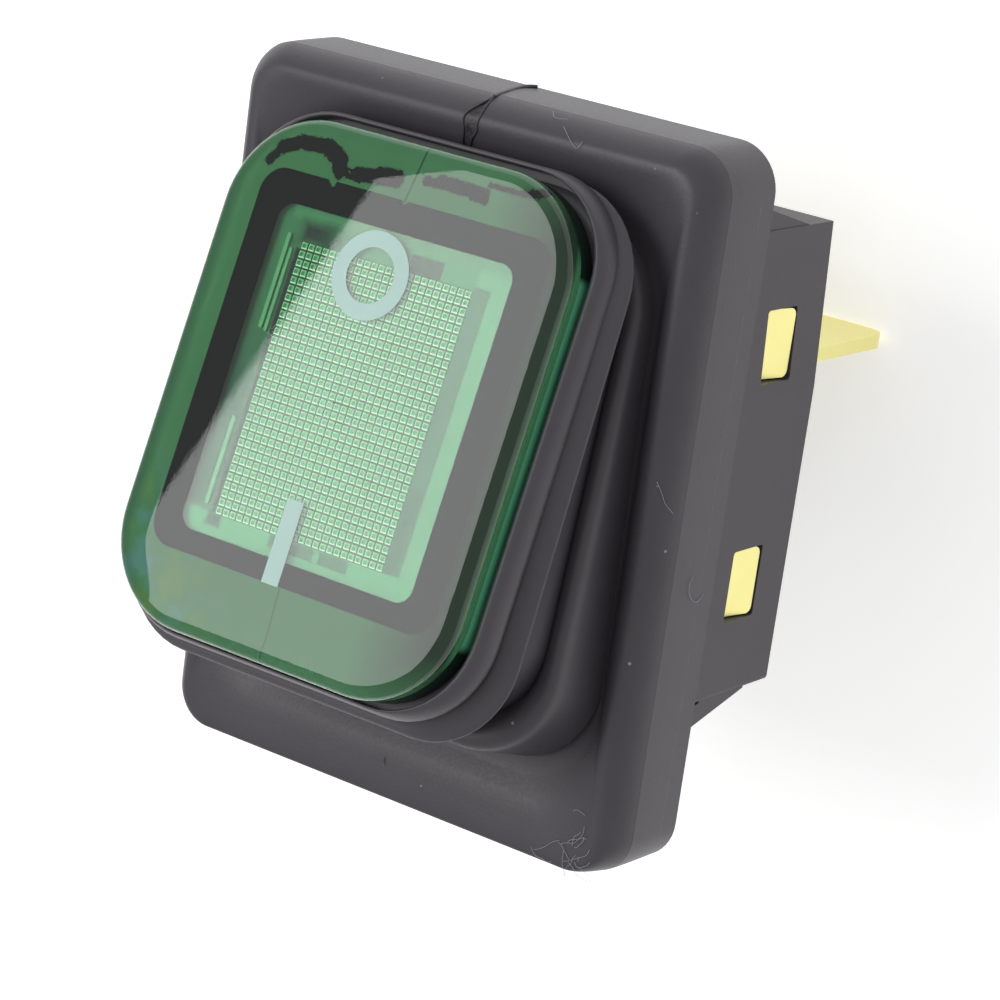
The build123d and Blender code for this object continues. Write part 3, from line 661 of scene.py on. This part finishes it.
# %% Grain and dust effects
FLOAT, VECTOR = "NodeSocketFloat", "NodeSocketVector"
grain, g_in, g_out = new_effect(
    "moulded_grain",
    [("Place", VECTOR, None), ("Scale", FLOAT, 9000.0), ("Tone", FLOAT, 0.1)],
    [("Height", FLOAT), ("Shade", FLOAT)],
)
fine = noise_node(grain, g_in.outputs["Place"], g_in.outputs["Scale"], 3.0)[0]
wide = noise_node(grain, g_in.outputs["Place"], 260.0, 4.0, Roughness=0.6)[0]
shade = math_node(grain, "MULTIPLY_ADD", math_node(grain, "SUBTRACT", wide, 0.5), g_in.outputs["Tone"], 1.0)
grain.links.new(fine, g_out.inputs["Height"])
grain.links.new(shade, g_out.inputs["Shade"])

dust, d_in, d_out = new_effect(
    "dust_specks",
    [("Place", VECTOR, None), ("Scale", FLOAT, 900.0), ("Amount", FLOAT, 0.06)],
    [("Specks", FLOAT)],
)
cells = add_node(dust, "ShaderNodeTexVoronoi", Vector=d_in.outputs["Place"], Scale=d_in.outputs["Scale"])
split = add_node(dust, "ShaderNodeSeparateColor", Color=cells.outputs["Color"])
chosen = math_node(dust, "LESS_THAN", split.outputs[0], d_in.outputs["Amount"])
close = step_mask(dust, cells.outputs["Distance"], 0.16, 0.08)
dust.links.new(math_node(dust, "MULTIPLY", chosen, close), d_out.inputs["Specks"])


# %% [markdown]
# Two more effects measure shapes in a plane: the distance to a line between two points, which draws
# seams, scratches and strokes of ink, and a soft-edged rectangle.

# %% Stroke and zone effects
stroke, t_in, t_out = new_effect(
    "stroke",
    [("Point", VECTOR, None), ("Start", VECTOR, None), ("End", VECTOR, None),
     ("Half Width", FLOAT, 0.1), ("Soft", FLOAT, 0.03)],
    [("Mask", FLOAT)],
)
along = vector_node(stroke, "SUBTRACT", i0=t_in.outputs["End"], i1=t_in.outputs["Start"])
reach = vector_node(stroke, "SUBTRACT", i0=t_in.outputs["Point"], i1=t_in.outputs["Start"])
dot = vector_node(stroke, "DOT_PRODUCT", 1, i0=reach, i1=along)
square = vector_node(stroke, "DOT_PRODUCT", 1, i0=along, i1=along)
part = add_node(stroke, "ShaderNodeMath", {"operation": "DIVIDE", "use_clamp": True}, i0=dot, i1=square).outputs[0]
foot = vector_node(stroke, "SCALE", i0=along, Scale=part)
offset = vector_node(stroke, "SUBTRACT", i0=reach, i1=foot)
distance = vector_node(stroke, "LENGTH", 1, i0=offset)
limit = math_node(stroke, "ADD", t_in.outputs["Half Width"], t_in.outputs["Soft"])
inner_limit = math_node(stroke, "SUBTRACT", t_in.outputs["Half Width"], t_in.outputs["Soft"])
stroke.links.new(step_mask(stroke, distance, limit, inner_limit), t_out.inputs[0])

zone, z_in, z_out = new_effect(
    "zone",
    [("Point", VECTOR, None), ("Low", VECTOR, None), ("High", VECTOR, None), ("Soft", FLOAT, 0.1)],
    [("Mask", FLOAT)],
)
above_low = vector_node(zone, "SUBTRACT", i0=z_in.outputs["Point"], i1=z_in.outputs["Low"])
below_high = vector_node(zone, "SUBTRACT", i0=z_in.outputs["High"], i1=z_in.outputs["Point"])
least_x, least_y, _ = axes(zone, vector_node(zone, "MINIMUM", i0=above_low, i1=below_high))
smaller = math_node(zone, "MINIMUM", least_x, least_y)
zone_edge = math_node(zone, "DIVIDE", smaller, z_in.outputs["Soft"])
zone_mask = add_node(zone, "ShaderNodeMath", {"operation": "ADD", "use_clamp": True}, i0=zone_edge, i1=0.5)
zone.links.new(zone_mask.outputs[0], z_out.inputs[0])
print("effects", [g.name for g in bpy.data.node_groups])


def draw_strokes(tree, point, soft, rows):
    """The largest mask of several strokes, each from its start, end and half width."""
    masks = []
    for start, end, half_width in rows:
        start, end = (p + (0.0,) * (3 - len(p)) for p in (start, end))
        made = place_effect(tree, stroke, Point=point, Start=start, End=end, Half_Width=half_width, Soft=soft)
        masks.append(made.outputs[0])
    return union(tree, masks)


def draw_zone(tree, point, low, high, soft=0.1):
    """A soft rectangle's mask between its low and high corners."""
    return place_effect(tree, zone, Point=point, Low=(*low, -1e6), High=(*high, 1e6), Soft=soft).outputs[0]


def union(tree, masks):
    """The largest of several masks."""
    total = masks[0]
    for mask in masks[1:]:
        total = math_node(tree, "MAXIMUM", total, mask)
    return total


def mix_colour(tree, base, other, mask):
    """One colour laid over another where a mask is 1."""
    return add_node(tree, "ShaderNodeMix", {"data_type": "RGBA"}, Factor=mask, i6=base, i7=other).outputs[2]


def tile_plane(tree, place, wander=0.0, scale=8.0):
    """Object coordinates turned level with the tile, in mm from the hinge, made ragged by a noise."""
    tilt = math.radians(-REST_TILT)
    turned = add_node(tree, "ShaderNodeMapping", {"vector_type": "POINT"}, Vector=place,
                      Location=(0, HINGE_Z * math.sin(tilt), -HINGE_Z * math.cos(tilt)),
                      Rotation=(tilt, 0, 0), Scale=(1000, 1000, 1000))
    flat = vector_node(tree, "MULTIPLY", i0=turned.outputs[0], i1=(1, 1, 0))
    if not wander:
        return flat
    return pushed_about(tree, flat, wander, scale, 5.0, Roughness=0.75)


# %% A general moulded or metal finish
def shaded_colour(tree, colour, shade):
    """A colour multiplied by a shade value that changes over the surface."""
    source = {"i0": colour} if isinstance(colour, bpy.types.NodeSocket) else {"i0": colour[:3]}
    return add_node(tree, "ShaderNodeVectorMath", {"operation": "SCALE"}, Scale=shade, **source).outputs[0]


def dress(tree, output, effect, colour, **sockets):
    """A Principled shader with a shaded colour and its own sockets, linked to the material's output."""
    shade = shaded_colour(tree, colour, effect.outputs["Shade"])
    shader = add_node(tree, "ShaderNodeBsdfPrincipled", Base_Color=shade, **sockets)
    tree.links.new(shader.outputs[0], output.inputs[0])


def level_material(name, scale, tone, *ragged):
    """A new material with the tile's level plane and the grain to draw on."""
    material, tree, output, place = new_material(name)
    effect = place_effect(tree, grain, Place=place, Scale=scale, Tone=tone)
    return material, tree, output, tile_plane(tree, place, *ragged), effect


def between(tree, value, low, high):
    """A value from 0 to 1 carried to a range."""
    return add_node(tree, "ShaderNodeMapRange", Value=value, To_Min=low, To_Max=high).outputs[0]


def surface_finish(name, colour, roughness, metallic=0.0, scale=9000.0, depth=0.02, tone=0.15, spread=0.08,
                   shine=0.5):
    """A Principled finish with grain in its bump and slow changes of tone and roughness."""
    material, tree, output, place = new_material(name)
    effect = place_effect(tree, grain, Place=place, Scale=scale, Tone=tone)
    bump = add_node(tree, "ShaderNodeBump", Strength=0.4, Distance=depth * MM, Height=effect.outputs["Height"])
    rough = between(tree, effect.outputs["Height"], roughness - spread, roughness + spread)
    dress(tree, output, effect, colour, Metallic=metallic, Specular_IOR_Level=shine,
          Roughness=rough, Normal=bump.outputs[0])
    return material


# %% [markdown]
# ## Black rubber
# The boot is matte rubber, dark grey with a bluish cast and a fairly directional sheen, with pale dust on it. A mould
# seam runs round the middle and is an open dark line at the I end: the distance from the middle plane is small there,
# pushed about by a noise so that it wanders. A hairline where the mould's halves met runs along the flange's side.
# Round the wrinkled flash at the O end a dark wrinkled patch is painted shade standing in for the shade in its folds.

# %% The rubber
rubber, tree, output, place = new_material("boot_rubber")
effect = place_effect(tree, grain, Place=place, Scale=5200.0, Tone=0.28)
specks = place_effect(tree, dust, Place=place, Scale=1500.0, Amount=0.035)
in_mm = vector_node(tree, "SCALE", i0=place, Scale=1000.0)
pushed = pushed_about(tree, in_mm, 0.3, 0.9, 4.0)
crack = draw_strokes(tree, pushed, 0.05, [
    ((-0.25, -14.6, 5.3), (0.05, -16.4, 5.4), 0.06),
    ((0.05, -16.4, 5.4), (0.4, -18.8, 4.8), 0.07),
    ((0.4, -18.8, 4.8), (0.4, -18.9, 0.0), 0.07),
])
hairline = draw_strokes(tree, in_mm, 0.02, [
    ((15.0, -18.0, 1.35), (15.0, 17.0, 1.15), 0.015),
    ((15.0, 17.0, 1.15), (13.5, 18.9, 1.15), 0.015),
])
# Painted shade: a dark wrinkled patch round the O-end flash, where its folds would be shaded.
fold_shade_patch = draw_strokes(tree, in_mm, 0.1, [
    ((0.35, 18.3, 4.9), (0.25, 17.5, 5.45), 0.3),
    ((0.25, 17.5, 5.45), (0.05, 15.9, 5.1), 0.34),
])
wrinkles = noise_node(tree, in_mm, 5.0, 5.0, Distortion=1.5)[0]
fold_shade_patch = math_node(tree, "MULTIPLY", fold_shade_patch, step_mask(tree, wrinkles, 0.4, 0.58))
broken = noise_node(tree, in_mm, 1.6)[0]
hairline = math_node(tree, "MULTIPLY", hairline, step_mask(tree, broken, 0.4, 0.6))
dusty = shaded_colour(tree, srgb(68, 64, 70), effect.outputs["Shade"])
dusty = mix_colour(tree, dusty, srgb(150, 150, 152), specks.outputs[0])
lined = mix_colour(tree, dusty, srgb(130, 130, 134), math_node(tree, "MULTIPLY", hairline, 0.5))
wrinkled = mix_colour(tree, lined, srgb(34, 32, 34), fold_shade_patch)
cracked = mix_colour(tree, wrinkled, srgb(22, 21, 22), crack)
rough = between(tree, effect.outputs["Height"], 0.36, 0.5)
height = math_node(tree, "MULTIPLY_ADD", crack, -2.0, effect.outputs["Height"])
bump = add_node(tree, "ShaderNodeBump", Strength=0.3, Distance=3e-5, Height=height)
shader = add_node(tree, "ShaderNodeBsdfPrincipled", Base_Color=cracked, Roughness=rough, Normal=bump.outputs[0])
tree.links.new(shader.outputs[0], output.inputs[0])


def paint(material, *pieces):
    """The material on each piece or CAD node, in place of what it had."""
    for piece in pieces:
        target = nodes_by_name[piece] if isinstance(piece, str) else piece
        target.data.materials.clear()
        target.data.materials.append(material)


paint(rubber, boot_flange, boot_tier, boot_lip, boot_rim, boot_flash, "rubber_boot")
lint_grey = surface_finish("lint_grey", srgb(160, 166, 174), 0.6, scale=9000.0, depth=0.002, tone=0.2)
paint(lint_grey, lint_fibres)

# %% [markdown]
# ## Clear green plastic
# Clear plastic is glass with a tint. Light that falls on what lies under it should pass through, so
# for shadow rays the material is a plain green transparency, which keeps the lens under it bright.
# The face is not quite flat: very faint ripples from moulding show where a reflection ends on them.

# %% The tile's plastic
def clear_plastic(name, tint, shadow_tint, roughness, ior=1.49, ripple=0.0):
    """A tinted glass shader, replaced by tinted transparency for shadow rays."""
    material, tree, output, place = new_material(name)
    effect = place_effect(tree, grain, Place=place, Scale=1400.0, Tone=0.06)
    height = effect.outputs["Height"]
    if ripple:
        plane = tile_plane(tree, place, 1.6, 0.25)
        waves = add_node(tree, "ShaderNodeTexWave", {"wave_type": "RINGS", "rings_direction": "Z"},
                         Vector=vector_node(tree, "SUBTRACT", i0=plane, i1=(3.0, -1.5, 0.0)), Scale=2.6,
                         Distortion=1.2, Detail=1.0)
        height = math_node(tree, "MULTIPLY_ADD", waves.outputs["Fac"], ripple, height)
    bump = add_node(tree, "ShaderNodeBump", Strength=1.0, Distance=5e-8, Height=height)
    glass = add_node(tree, "ShaderNodeBsdfPrincipled", Roughness=roughness, IOR=ior, Transmission_Weight=1.0,
                     Base_Color=shaded_colour(tree, tint, effect.outputs["Shade"]), Normal=bump.outputs[0])
    see_through = add_node(tree, "ShaderNodeBsdfTransparent", Color=shadow_tint)
    path = tree.nodes.new("ShaderNodeLightPath")
    mixed = add_node(tree, "ShaderNodeMixShader", i0=path.outputs["Is Shadow Ray"], i1=glass.outputs[0],
                     i2=see_through.outputs[0])
    tree.links.new(mixed.outputs[0], output.inputs[0])
    return material


tile_plastic = clear_plastic("cap_clear_green", srgb(220, 245, 228), srgb(236, 250, 240), 0.0, ripple=0.5)
paint(tile_plastic, cap_tile, "green_cap")

# %% [markdown]
# The layer under the margin is an even green with painted shade: a slightly darker band along the tile's edge and a
# much darker right side. Its colour drifts a little towards yellow and blue near the lower left corner, as stressed
# plastic does, and a thin mould seam crosses it at both ends. The skirt below it is dark, painted shade, with a paler
# strip of painted light on the right.

# %% The layer under the margin and the skirt
layer, tree, output, plane, effect = level_material("cap_layer_green_painted_shade", 2200.0, 0.16)
drift = noise_node(tree, plane, 0.5)[0]
corner_zone = draw_zone(tree, plane, (-11.5, -14.0), (-5.0, -7.0), 5.0)
yellow = math_node(tree, "MULTIPLY", corner_zone, step_mask(tree, drift, 0.5, 0.62))
blue = math_node(tree, "MULTIPLY", corner_zone, step_mask(tree, drift, 0.46, 0.36))
green = mix_colour(tree, srgb(72, 126, 86), srgb(98, 134, 68), yellow)
green = mix_colour(tree, green, srgb(84, 132, 126), blue)
# Painted shade: a slightly darker green in a thin band along the tile's edge, and a much darker green over the right
# side inside that band.
inner_part = draw_zone(tree, plane, (-10.1, -12.9), (10.1, 12.6), 0.5)
right_side_painted_shade = draw_zone(tree, plane, (7.0, -12.0), (14.0, 16.0), 4.0)
green = mix_colour(tree, green, srgb(22, 46, 30), right_side_painted_shade)
green = mix_colour(tree, srgb(66, 118, 84), green, inner_part)
seams = draw_strokes(tree, plane, 0.03, [
    ((0.30, 13.2), (-0.13, 10.3), 0.05),
    ((-0.13, -9.6), (0.02, -12.2), 0.03),
    ((0.02, -12.2), (-0.05, -13.4), 0.03),
])
green = mix_colour(tree, green, srgb(22, 52, 34), math_node(tree, "MULTIPLY", seams, 0.85))
dress(tree, output, effect, green, Roughness=0.6, Specular_IOR_Level=0.05)
paint(layer, cap_layer)

skirt_painted_shade, tree, output, plane, effect = level_material("cap_skirt_dark", 2500.0, 0.2)
# The skirt's dark tone is painted shade for the near-black wall, and the paler strip on its right side is painted
# light.
lit_side = draw_zone(tree, plane, (10.3, -9.5), (14.0, 9.0), 0.4)
skirt_tone = mix_colour(tree, srgb(22, 40, 32), srgb(86, 162, 124), lit_side)
dress(tree, output, effect, skirt_tone, Roughness=0.2, Specular_IOR_Level=0.2)
paint(skirt_painted_shade, cap_skirt)

# %% [markdown]
# ## The lens
# Each prism shows a painted highlight along its rim, brightest on its left and lower sides, a mid-green middle and a
# dark line to its neighbours. The cell's own coordinates come from the remainder of the position divided by the cell,
# and the distance to the nearest side picks the tone.

# %% Prisms
prism_green_painted_highlights, tree, output, plane, effect = level_material("prism_green_painted_highlights", 3000.0, 0.2)
field_corner = (FIELD_MIDDLE[0] - FIELD_HALF[0], FIELD_MIDDLE[1] - FIELD_HALF[1], 0)
counted = vector_node(tree, "SUBTRACT", i0=plane, i1=field_corner)
counted = vector_node(tree, "DIVIDE", i0=counted, i1=(cell, cell_length, 1))
from_left, from_low, _ = axes(tree, vector_node(tree, "FRACTION", i0=counted))
from_right = math_node(tree, "SUBTRACT", 1.0, from_left)
from_top = math_node(tree, "SUBTRACT", 1.0, from_low)
bright_sides = math_node(tree, "MINIMUM", from_left, from_low)
dim_sides = math_node(tree, "MINIMUM", from_right, from_top)
nearest = math_node(tree, "MINIMUM", bright_sides, dim_sides)
# Painted highlights: a pale rim on every prism, and a near-white one on its left and lower sides.
rim, lit_sides = (
    math_node(tree, "MULTIPLY", step_mask(tree, sides, 0.07, 0.12), step_mask(tree, sides, 0.30, 0.24))
    for sides in (nearest, bright_sides))
lit_rim_highlight = math_node(tree, "MULTIPLY", lit_sides, rim)
ends = draw_zone(tree, plane, (-4.6, -7.2), (6.0, 3.5), 6.0)
middle_tone = mix_colour(tree, srgb(48, 126, 78), srgb(64, 142, 94), ends)
tones = mix_colour(tree, middle_tone, srgb(132, 204, 152), rim)
tones = mix_colour(tree, tones, srgb(236, 255, 232), lit_rim_highlight)
tones = mix_colour(tree, tones, srgb(6, 44, 24), step_mask(tree, nearest, 0.14, 0.08))
dress(tree, output, effect, tones, Roughness=0.3, Specular_IOR_Level=0.12)
paint(prism_green_painted_highlights, prism_field)

# %% The frame round the prisms
frame_green_and_painted_shade, tree, output, plane, effect = level_material("lens_frame_green", 2600.0, 0.3, 0.16, 4.0)
fade = step_mask(tree, axes(tree, plane)[1], 6.0, -3.0)
left_tone = mix_colour(tree, srgb(60, 114, 80), srgb(50, 84, 72), fade)
colours = mix_colour(tree, srgb(93, 155, 118), left_tone, draw_zone(tree, plane, (-9.0, -7.3), (-5.6, 10.0), 0.9))
# Zones of colour round the prisms; the dark band just left of the prism field (last row) and the strips just right of
# it are painted shade.
for colour, low, high, soft in (
    ((78, 134, 98), (-6.6, 8.15), (8.5, 11.0), 0.3),
    ((66, 132, 94), (-5.8, 7.0), (5.2, 8.2), 0.12),
    ((16, 34, 30), (-5.78, 7.0), (-3.9, 8.12), 0.7),
    ((36, 68, 56), (-4.2, 7.0), (-2.6, 7.9), 1.2),
    ((26, 50, 42), (1.1, 7.0), (3.1, 8.0), 0.1),
    ((64, 134, 98), (3.2, 7.0), (5.1, 7.95), 0.1),
    ((56, 102, 82), (5.16, -7.4), (6.16, 7.3), 0.12),
    ((44, 84, 68), (5.16, -7.4), (5.9, -3.0), 0.4),
    ((78, 156, 114), (-7.6, -10.5), (8.5, -7.25), 0.15),
    ((34, 62, 52), (-6.0, -7.9), (-5.1, -7.2), 0.3),
    ((40, 90, 66), (-1.9, -7.95), (3.1, -7.3), 0.14),
    ((80, 150, 108), (0.9, -7.9), (1.3, -7.3), 0.1),
    ((12, 24, 22), (-5.82, -7.2), (-5.5, 6.7), 0.16),
):
    colours = mix_colour(tree, colours, srgb(*colour), draw_zone(tree, plane, low, high, soft))
dress(tree, output, effect, colours, Roughness=0.5, Specular_IOR_Level=0.05)
paint(frame_green_and_painted_shade, lens_frame)
smooth_lens = {"scale": 2500.0, "depth": 0.004, "spread": 0.06}
rail_green = surface_finish("lens_rail_green", srgb(98, 160, 116), 0.25, tone=0.3, shine=0.15, **smooth_lens)
paint(rail_green, rail_long, rail_short, rail_low)
lens_body = surface_finish("lens_body", srgb(66, 132, 88), 0.22, tone=0.2, shine=0.2, **smooth_lens)
paint(lens_body, "rocker_lens")

# %% [markdown]
# ## Ink
# The black frame is a band between two rounded rectangles, worked out from the distance to each in the
# tile's own level frame. Above it the ink has smeared: an arc on the left, a blot beside it and a wide
# speckled blot on the right, drawn as strokes. Noise frays every edge, as screen-printed ink does.

# %% Black ink
def rounded_distance(tree, x, y, middle, half, corner):
    """How far a point lies outside a rounded rectangle.

    It is the length of what reaches beyond the corner's centre, minus the corner's radius.
    """
    parts = []
    for value, centre, extent in ((x, middle[0], half[0]), (y, middle[1], half[1])):
        size = math_node(tree, "ABSOLUTE", math_node(tree, "SUBTRACT", value, centre))
        parts.append(math_node(tree, "SUBTRACT", size, extent - corner))
    outside = [math_node(tree, "MAXIMUM", p, 0.0) for p in parts]
    squares = [math_node(tree, "MULTIPLY", p, p) for p in outside]
    length = math_node(tree, "SQRT", math_node(tree, "ADD", squares[0], squares[1]))
    inside = math_node(tree, "MINIMUM", math_node(tree, "MAXIMUM", parts[0], parts[1]), 0.0)
    return math_node(tree, "SUBTRACT", math_node(tree, "ADD", length, inside), corner)


black_ink, tree, output, place = new_material("black_ink")
plane = tile_plane(tree, place, 0.09, 11.0)
tile_x, tile_y, _ = axes(tree, plane)
outer = rounded_distance(tree, tile_x, tile_y, (0.12, 0.38), (9.0, 9.96), 1.4)
inner = rounded_distance(tree, tile_x, tile_y, (0.05, 0.18), (7.33, 8.58), 0.9)
band = math_node(tree, "MULTIPLY", step_mask(tree, outer, 0.03, -0.03), step_mask(tree, inner, -0.03, 0.03))
rough_plane = tile_plane(tree, place, 0.42, 7.0)
speckle = noise_node(tree, plane, 9.0, 4.0, Roughness=0.8)[0]
solid_strokes = draw_strokes(tree, rough_plane, 0.24, [
    ((-8.85, 10.5), (-8.3, 11.3), 0.24),
    ((-8.3, 11.3), (-7.2, 11.8), 0.34),
    ((-7.2, 11.8), (-5.6, 11.9), 0.36),
    ((-5.6, 11.9), (-4.6, 11.45), 0.42),
    ((-4.65, 11.5), (-4.5, 10.9), 0.42),
    ((-4.3, 10.95), (-3.2, 10.85), 0.24),
    ((-3.4, 11.0), (-1.2, 11.25), 0.34),
    ((-2.0, 11.2), (-1.0, 11.3), 0.44),
])
solid_strokes = step_mask(tree, math_node(tree, "ADD", solid_strokes, speckle), 0.93, 1.02)
patchy = draw_strokes(tree, rough_plane, 0.24, [
    ((0.75, 11.6), (3.4, 11.6), 0.42),
    ((1.6, 11.8), (4.3, 11.75), 0.45),
    ((3.6, 11.5), (4.4, 11.45), 0.42),
    ((4.4, 12.2), (7.4, 12.2), 0.32),
])
patchy = step_mask(tree, math_node(tree, "ADD", patchy, speckle), 1.36, 1.44)
bare = union(tree, [
    draw_strokes(tree, rough_plane, 0.05, [((-4.9, 10.6), (-4.6, 10.25), 0.2), ((-0.3, 10.75), (-0.1, 10.3), 0.16)]),
    draw_strokes(tree, rough_plane, 0.04, [((-3.9, 11.0), (-3.85, 10.98), 0.07)]),
])
inked = union(tree, [band, solid_strokes, patchy])
inked = math_node(tree, "MULTIPLY", inked, math_node(tree, "SUBTRACT", 1.0, bare))
tone = place_effect(tree, grain, Place=place, Scale=7000.0, Tone=0.2)
dress(tree, output, tone, srgb(20, 21, 24), Roughness=0.9, Alpha=inked, Specular_IOR_Level=0.0)
paint(black_ink, black_print)

# %% White ink
white_ink = surface_finish("white_ink", srgb(196, 214, 222), 0.8, scale=14000.0, depth=0.01, tone=0.12, spread=0.1)
paint(white_ink, white_ring, white_bar)

# %% [markdown]
# ## Housing, metals and the parts inside
# The housing is matte black moulding, the terminals are bright brass, and the inside has a pale
# rocker, steel springs, a glass lamp and its resistor. They share the general finish, each with its
# own grain and gloss.

# %% The other finishes
for name, tint, rough, metal, grain_scale, grain_depth, tone, pieces in (
    ("housing_black", (73, 69, 74), 0.5, 0.0, 7000.0, 0.02, 0.15, ["switch_housing"]),
    ("base_black", (66, 64, 68), 0.55, 0.0, 6000.0, 0.02, 0.15, ["terminal_base"]),
    ("terminal_brass", (255, 246, 166), 0.4, 0.8, 14000.0, 0.006, 0.12, [
        "line_terminal", "load_terminal", "neutral_terminal", "lamp_link", "lamp_eyelet_upper", "lamp_eyelet_lower"]),
    ("contact_silver", (214, 213, 208), 0.28, 1.0, 12000.0, 0.004, 0.15, ["fixed_contact", "moving_contact"]),
    ("seesaw_copper", (214, 150, 108), 0.32, 1.0, 12000.0, 0.005, 0.15, ["seesaw_contact"]),
    ("spring_steel", (190, 190, 188), 0.25, 1.0, 16000.0, 0.003, 0.15, ["lamp_electrodes", *coils]),
    ("rocker_white", (206, 214, 200), 0.42, 0.0, 7000.0, 0.015, 0.1, ["rocker_body"]),
    ("plunger_white", (222, 220, 208), 0.36, 0.0, 6000.0, 0.01, 0.08, ["plunger"]),
    ("resistor_ceramic", (196, 178, 132), 0.5, 0.0, 8000.0, 0.02, 0.2, ["lamp_resistor"]),
    ("lead_tinned", (200, 200, 198), 0.3, 1.0, 15000.0, 0.004, 0.15, [
        "lamp_lead_upper", "lamp_lead_lower", "resistor_lead"]),
):
    paint(surface_finish(name, srgb(*tint), rough, metal, grain_scale, grain_depth, tone), *pieces)
lamp_clear = clear_plastic("lamp_glass", srgb(240, 246, 240), srgb(240, 246, 240), 0.02, 1.5)
paint(lamp_clear, "neon_lamp")

# %% [markdown]
# ## Floor and light
# The switch stands over a wide pale floor. A soft world lights it evenly, so a colour renders about as
# it is written. One large square panel stands where the tile mirrors it: its edge crosses the tile, so
# the ink on one side of that line looks grey and on the other side black. The floor's own glow is for
# the rays that see it, so it is white behind the switch and in reflections without lighting anything.

# %% Floor
floor_z = float(cad_low[2]) - 0.0003
span = 3.0
floor_mesh = bpy.data.meshes.new("floor")
corners = [(x * span, y * span, floor_z) for x, y in ((-1, -1), (1, -1), (1, 1), (-1, 1))]
floor_mesh.from_pydata(corners, [], [(0, 1, 2, 3)])
floor = bpy.data.objects.new("floor", floor_mesh)
bpy.context.scene.collection.objects.link(floor)
floor_white, tree, output, place = new_material("floor_white")
level = between(tree, noise_node(tree, place, 40.0)[0], 0.93, 0.96)
shader = add_node(tree, "ShaderNodeBsdfPrincipled", Base_Color=level, Roughness=0.9)
glow = add_node(tree, "ShaderNodeEmission", Color=(1, 1, 1, 1), Strength=0.46)
path = tree.nodes.new("ShaderNodeLightPath")
seen = union(tree, [path.outputs[f"Is {kind} Ray"] for kind in ("Camera", "Glossy", "Transmission")])
unlit = add_node(tree, "ShaderNodeBsdfTransparent", Color=(0, 0, 0, 1))
mixed = add_node(tree, "ShaderNodeMixShader", i0=seen, i1=unlit.outputs[0], i2=glow.outputs[0])
summed = add_node(tree, "ShaderNodeAddShader", i0=shader.outputs[0], i1=mixed.outputs[0])
tree.links.new(summed.outputs[0], output.inputs[0])
floor_mesh.materials.append(floor_white)

# %% World and panel light
bpy.context.scene.view_settings.view_transform = "Standard"
world = bpy.data.worlds.new("studio")
bpy.context.scene.world = world
world.use_nodes = True
background = world.node_tree.nodes["Background"]
background.inputs["Color"].default_value = (1, 1, 1, 1)
background.inputs["Strength"].default_value = 0.6

panel = bpy.data.lights.new("soft_panel", "AREA")
panel.shape = "RECTANGLE"
panel.size, panel.size_y, panel.energy = 0.30, 0.30, 1.05
panel_holder = bpy.data.objects.new("soft_panel", panel)
bpy.context.scene.collection.objects.link(panel_holder)
tall = Vector((-0.00479, 0.95105, -0.30901))
wide = Vector((0.81197, 0.18407, 0.55392))
panel_x = -0.247 * tall + 0.969 * wide
panel_y = 0.969 * tall + 0.247 * wide
panel_z = Vector((-0.58368, 0.24825, 0.77310))
turned = Matrix((panel_x, panel_y, panel_z)).transposed().to_4x4()
panel_place = Matrix.Translation(Vector((-0.1858, 0.1231, 0.4816)))
panel_holder.matrix_world = panel_place @ turned @ Matrix.Rotation(math.radians(-2), 4, "Z")

# %% [markdown]
# ## The CAD model's size
# The CAD model's box is printed.

# %% Sizes
print("cad", [round(v, 4) for v in cad_low], [round(v, 4) for v in cad_high])
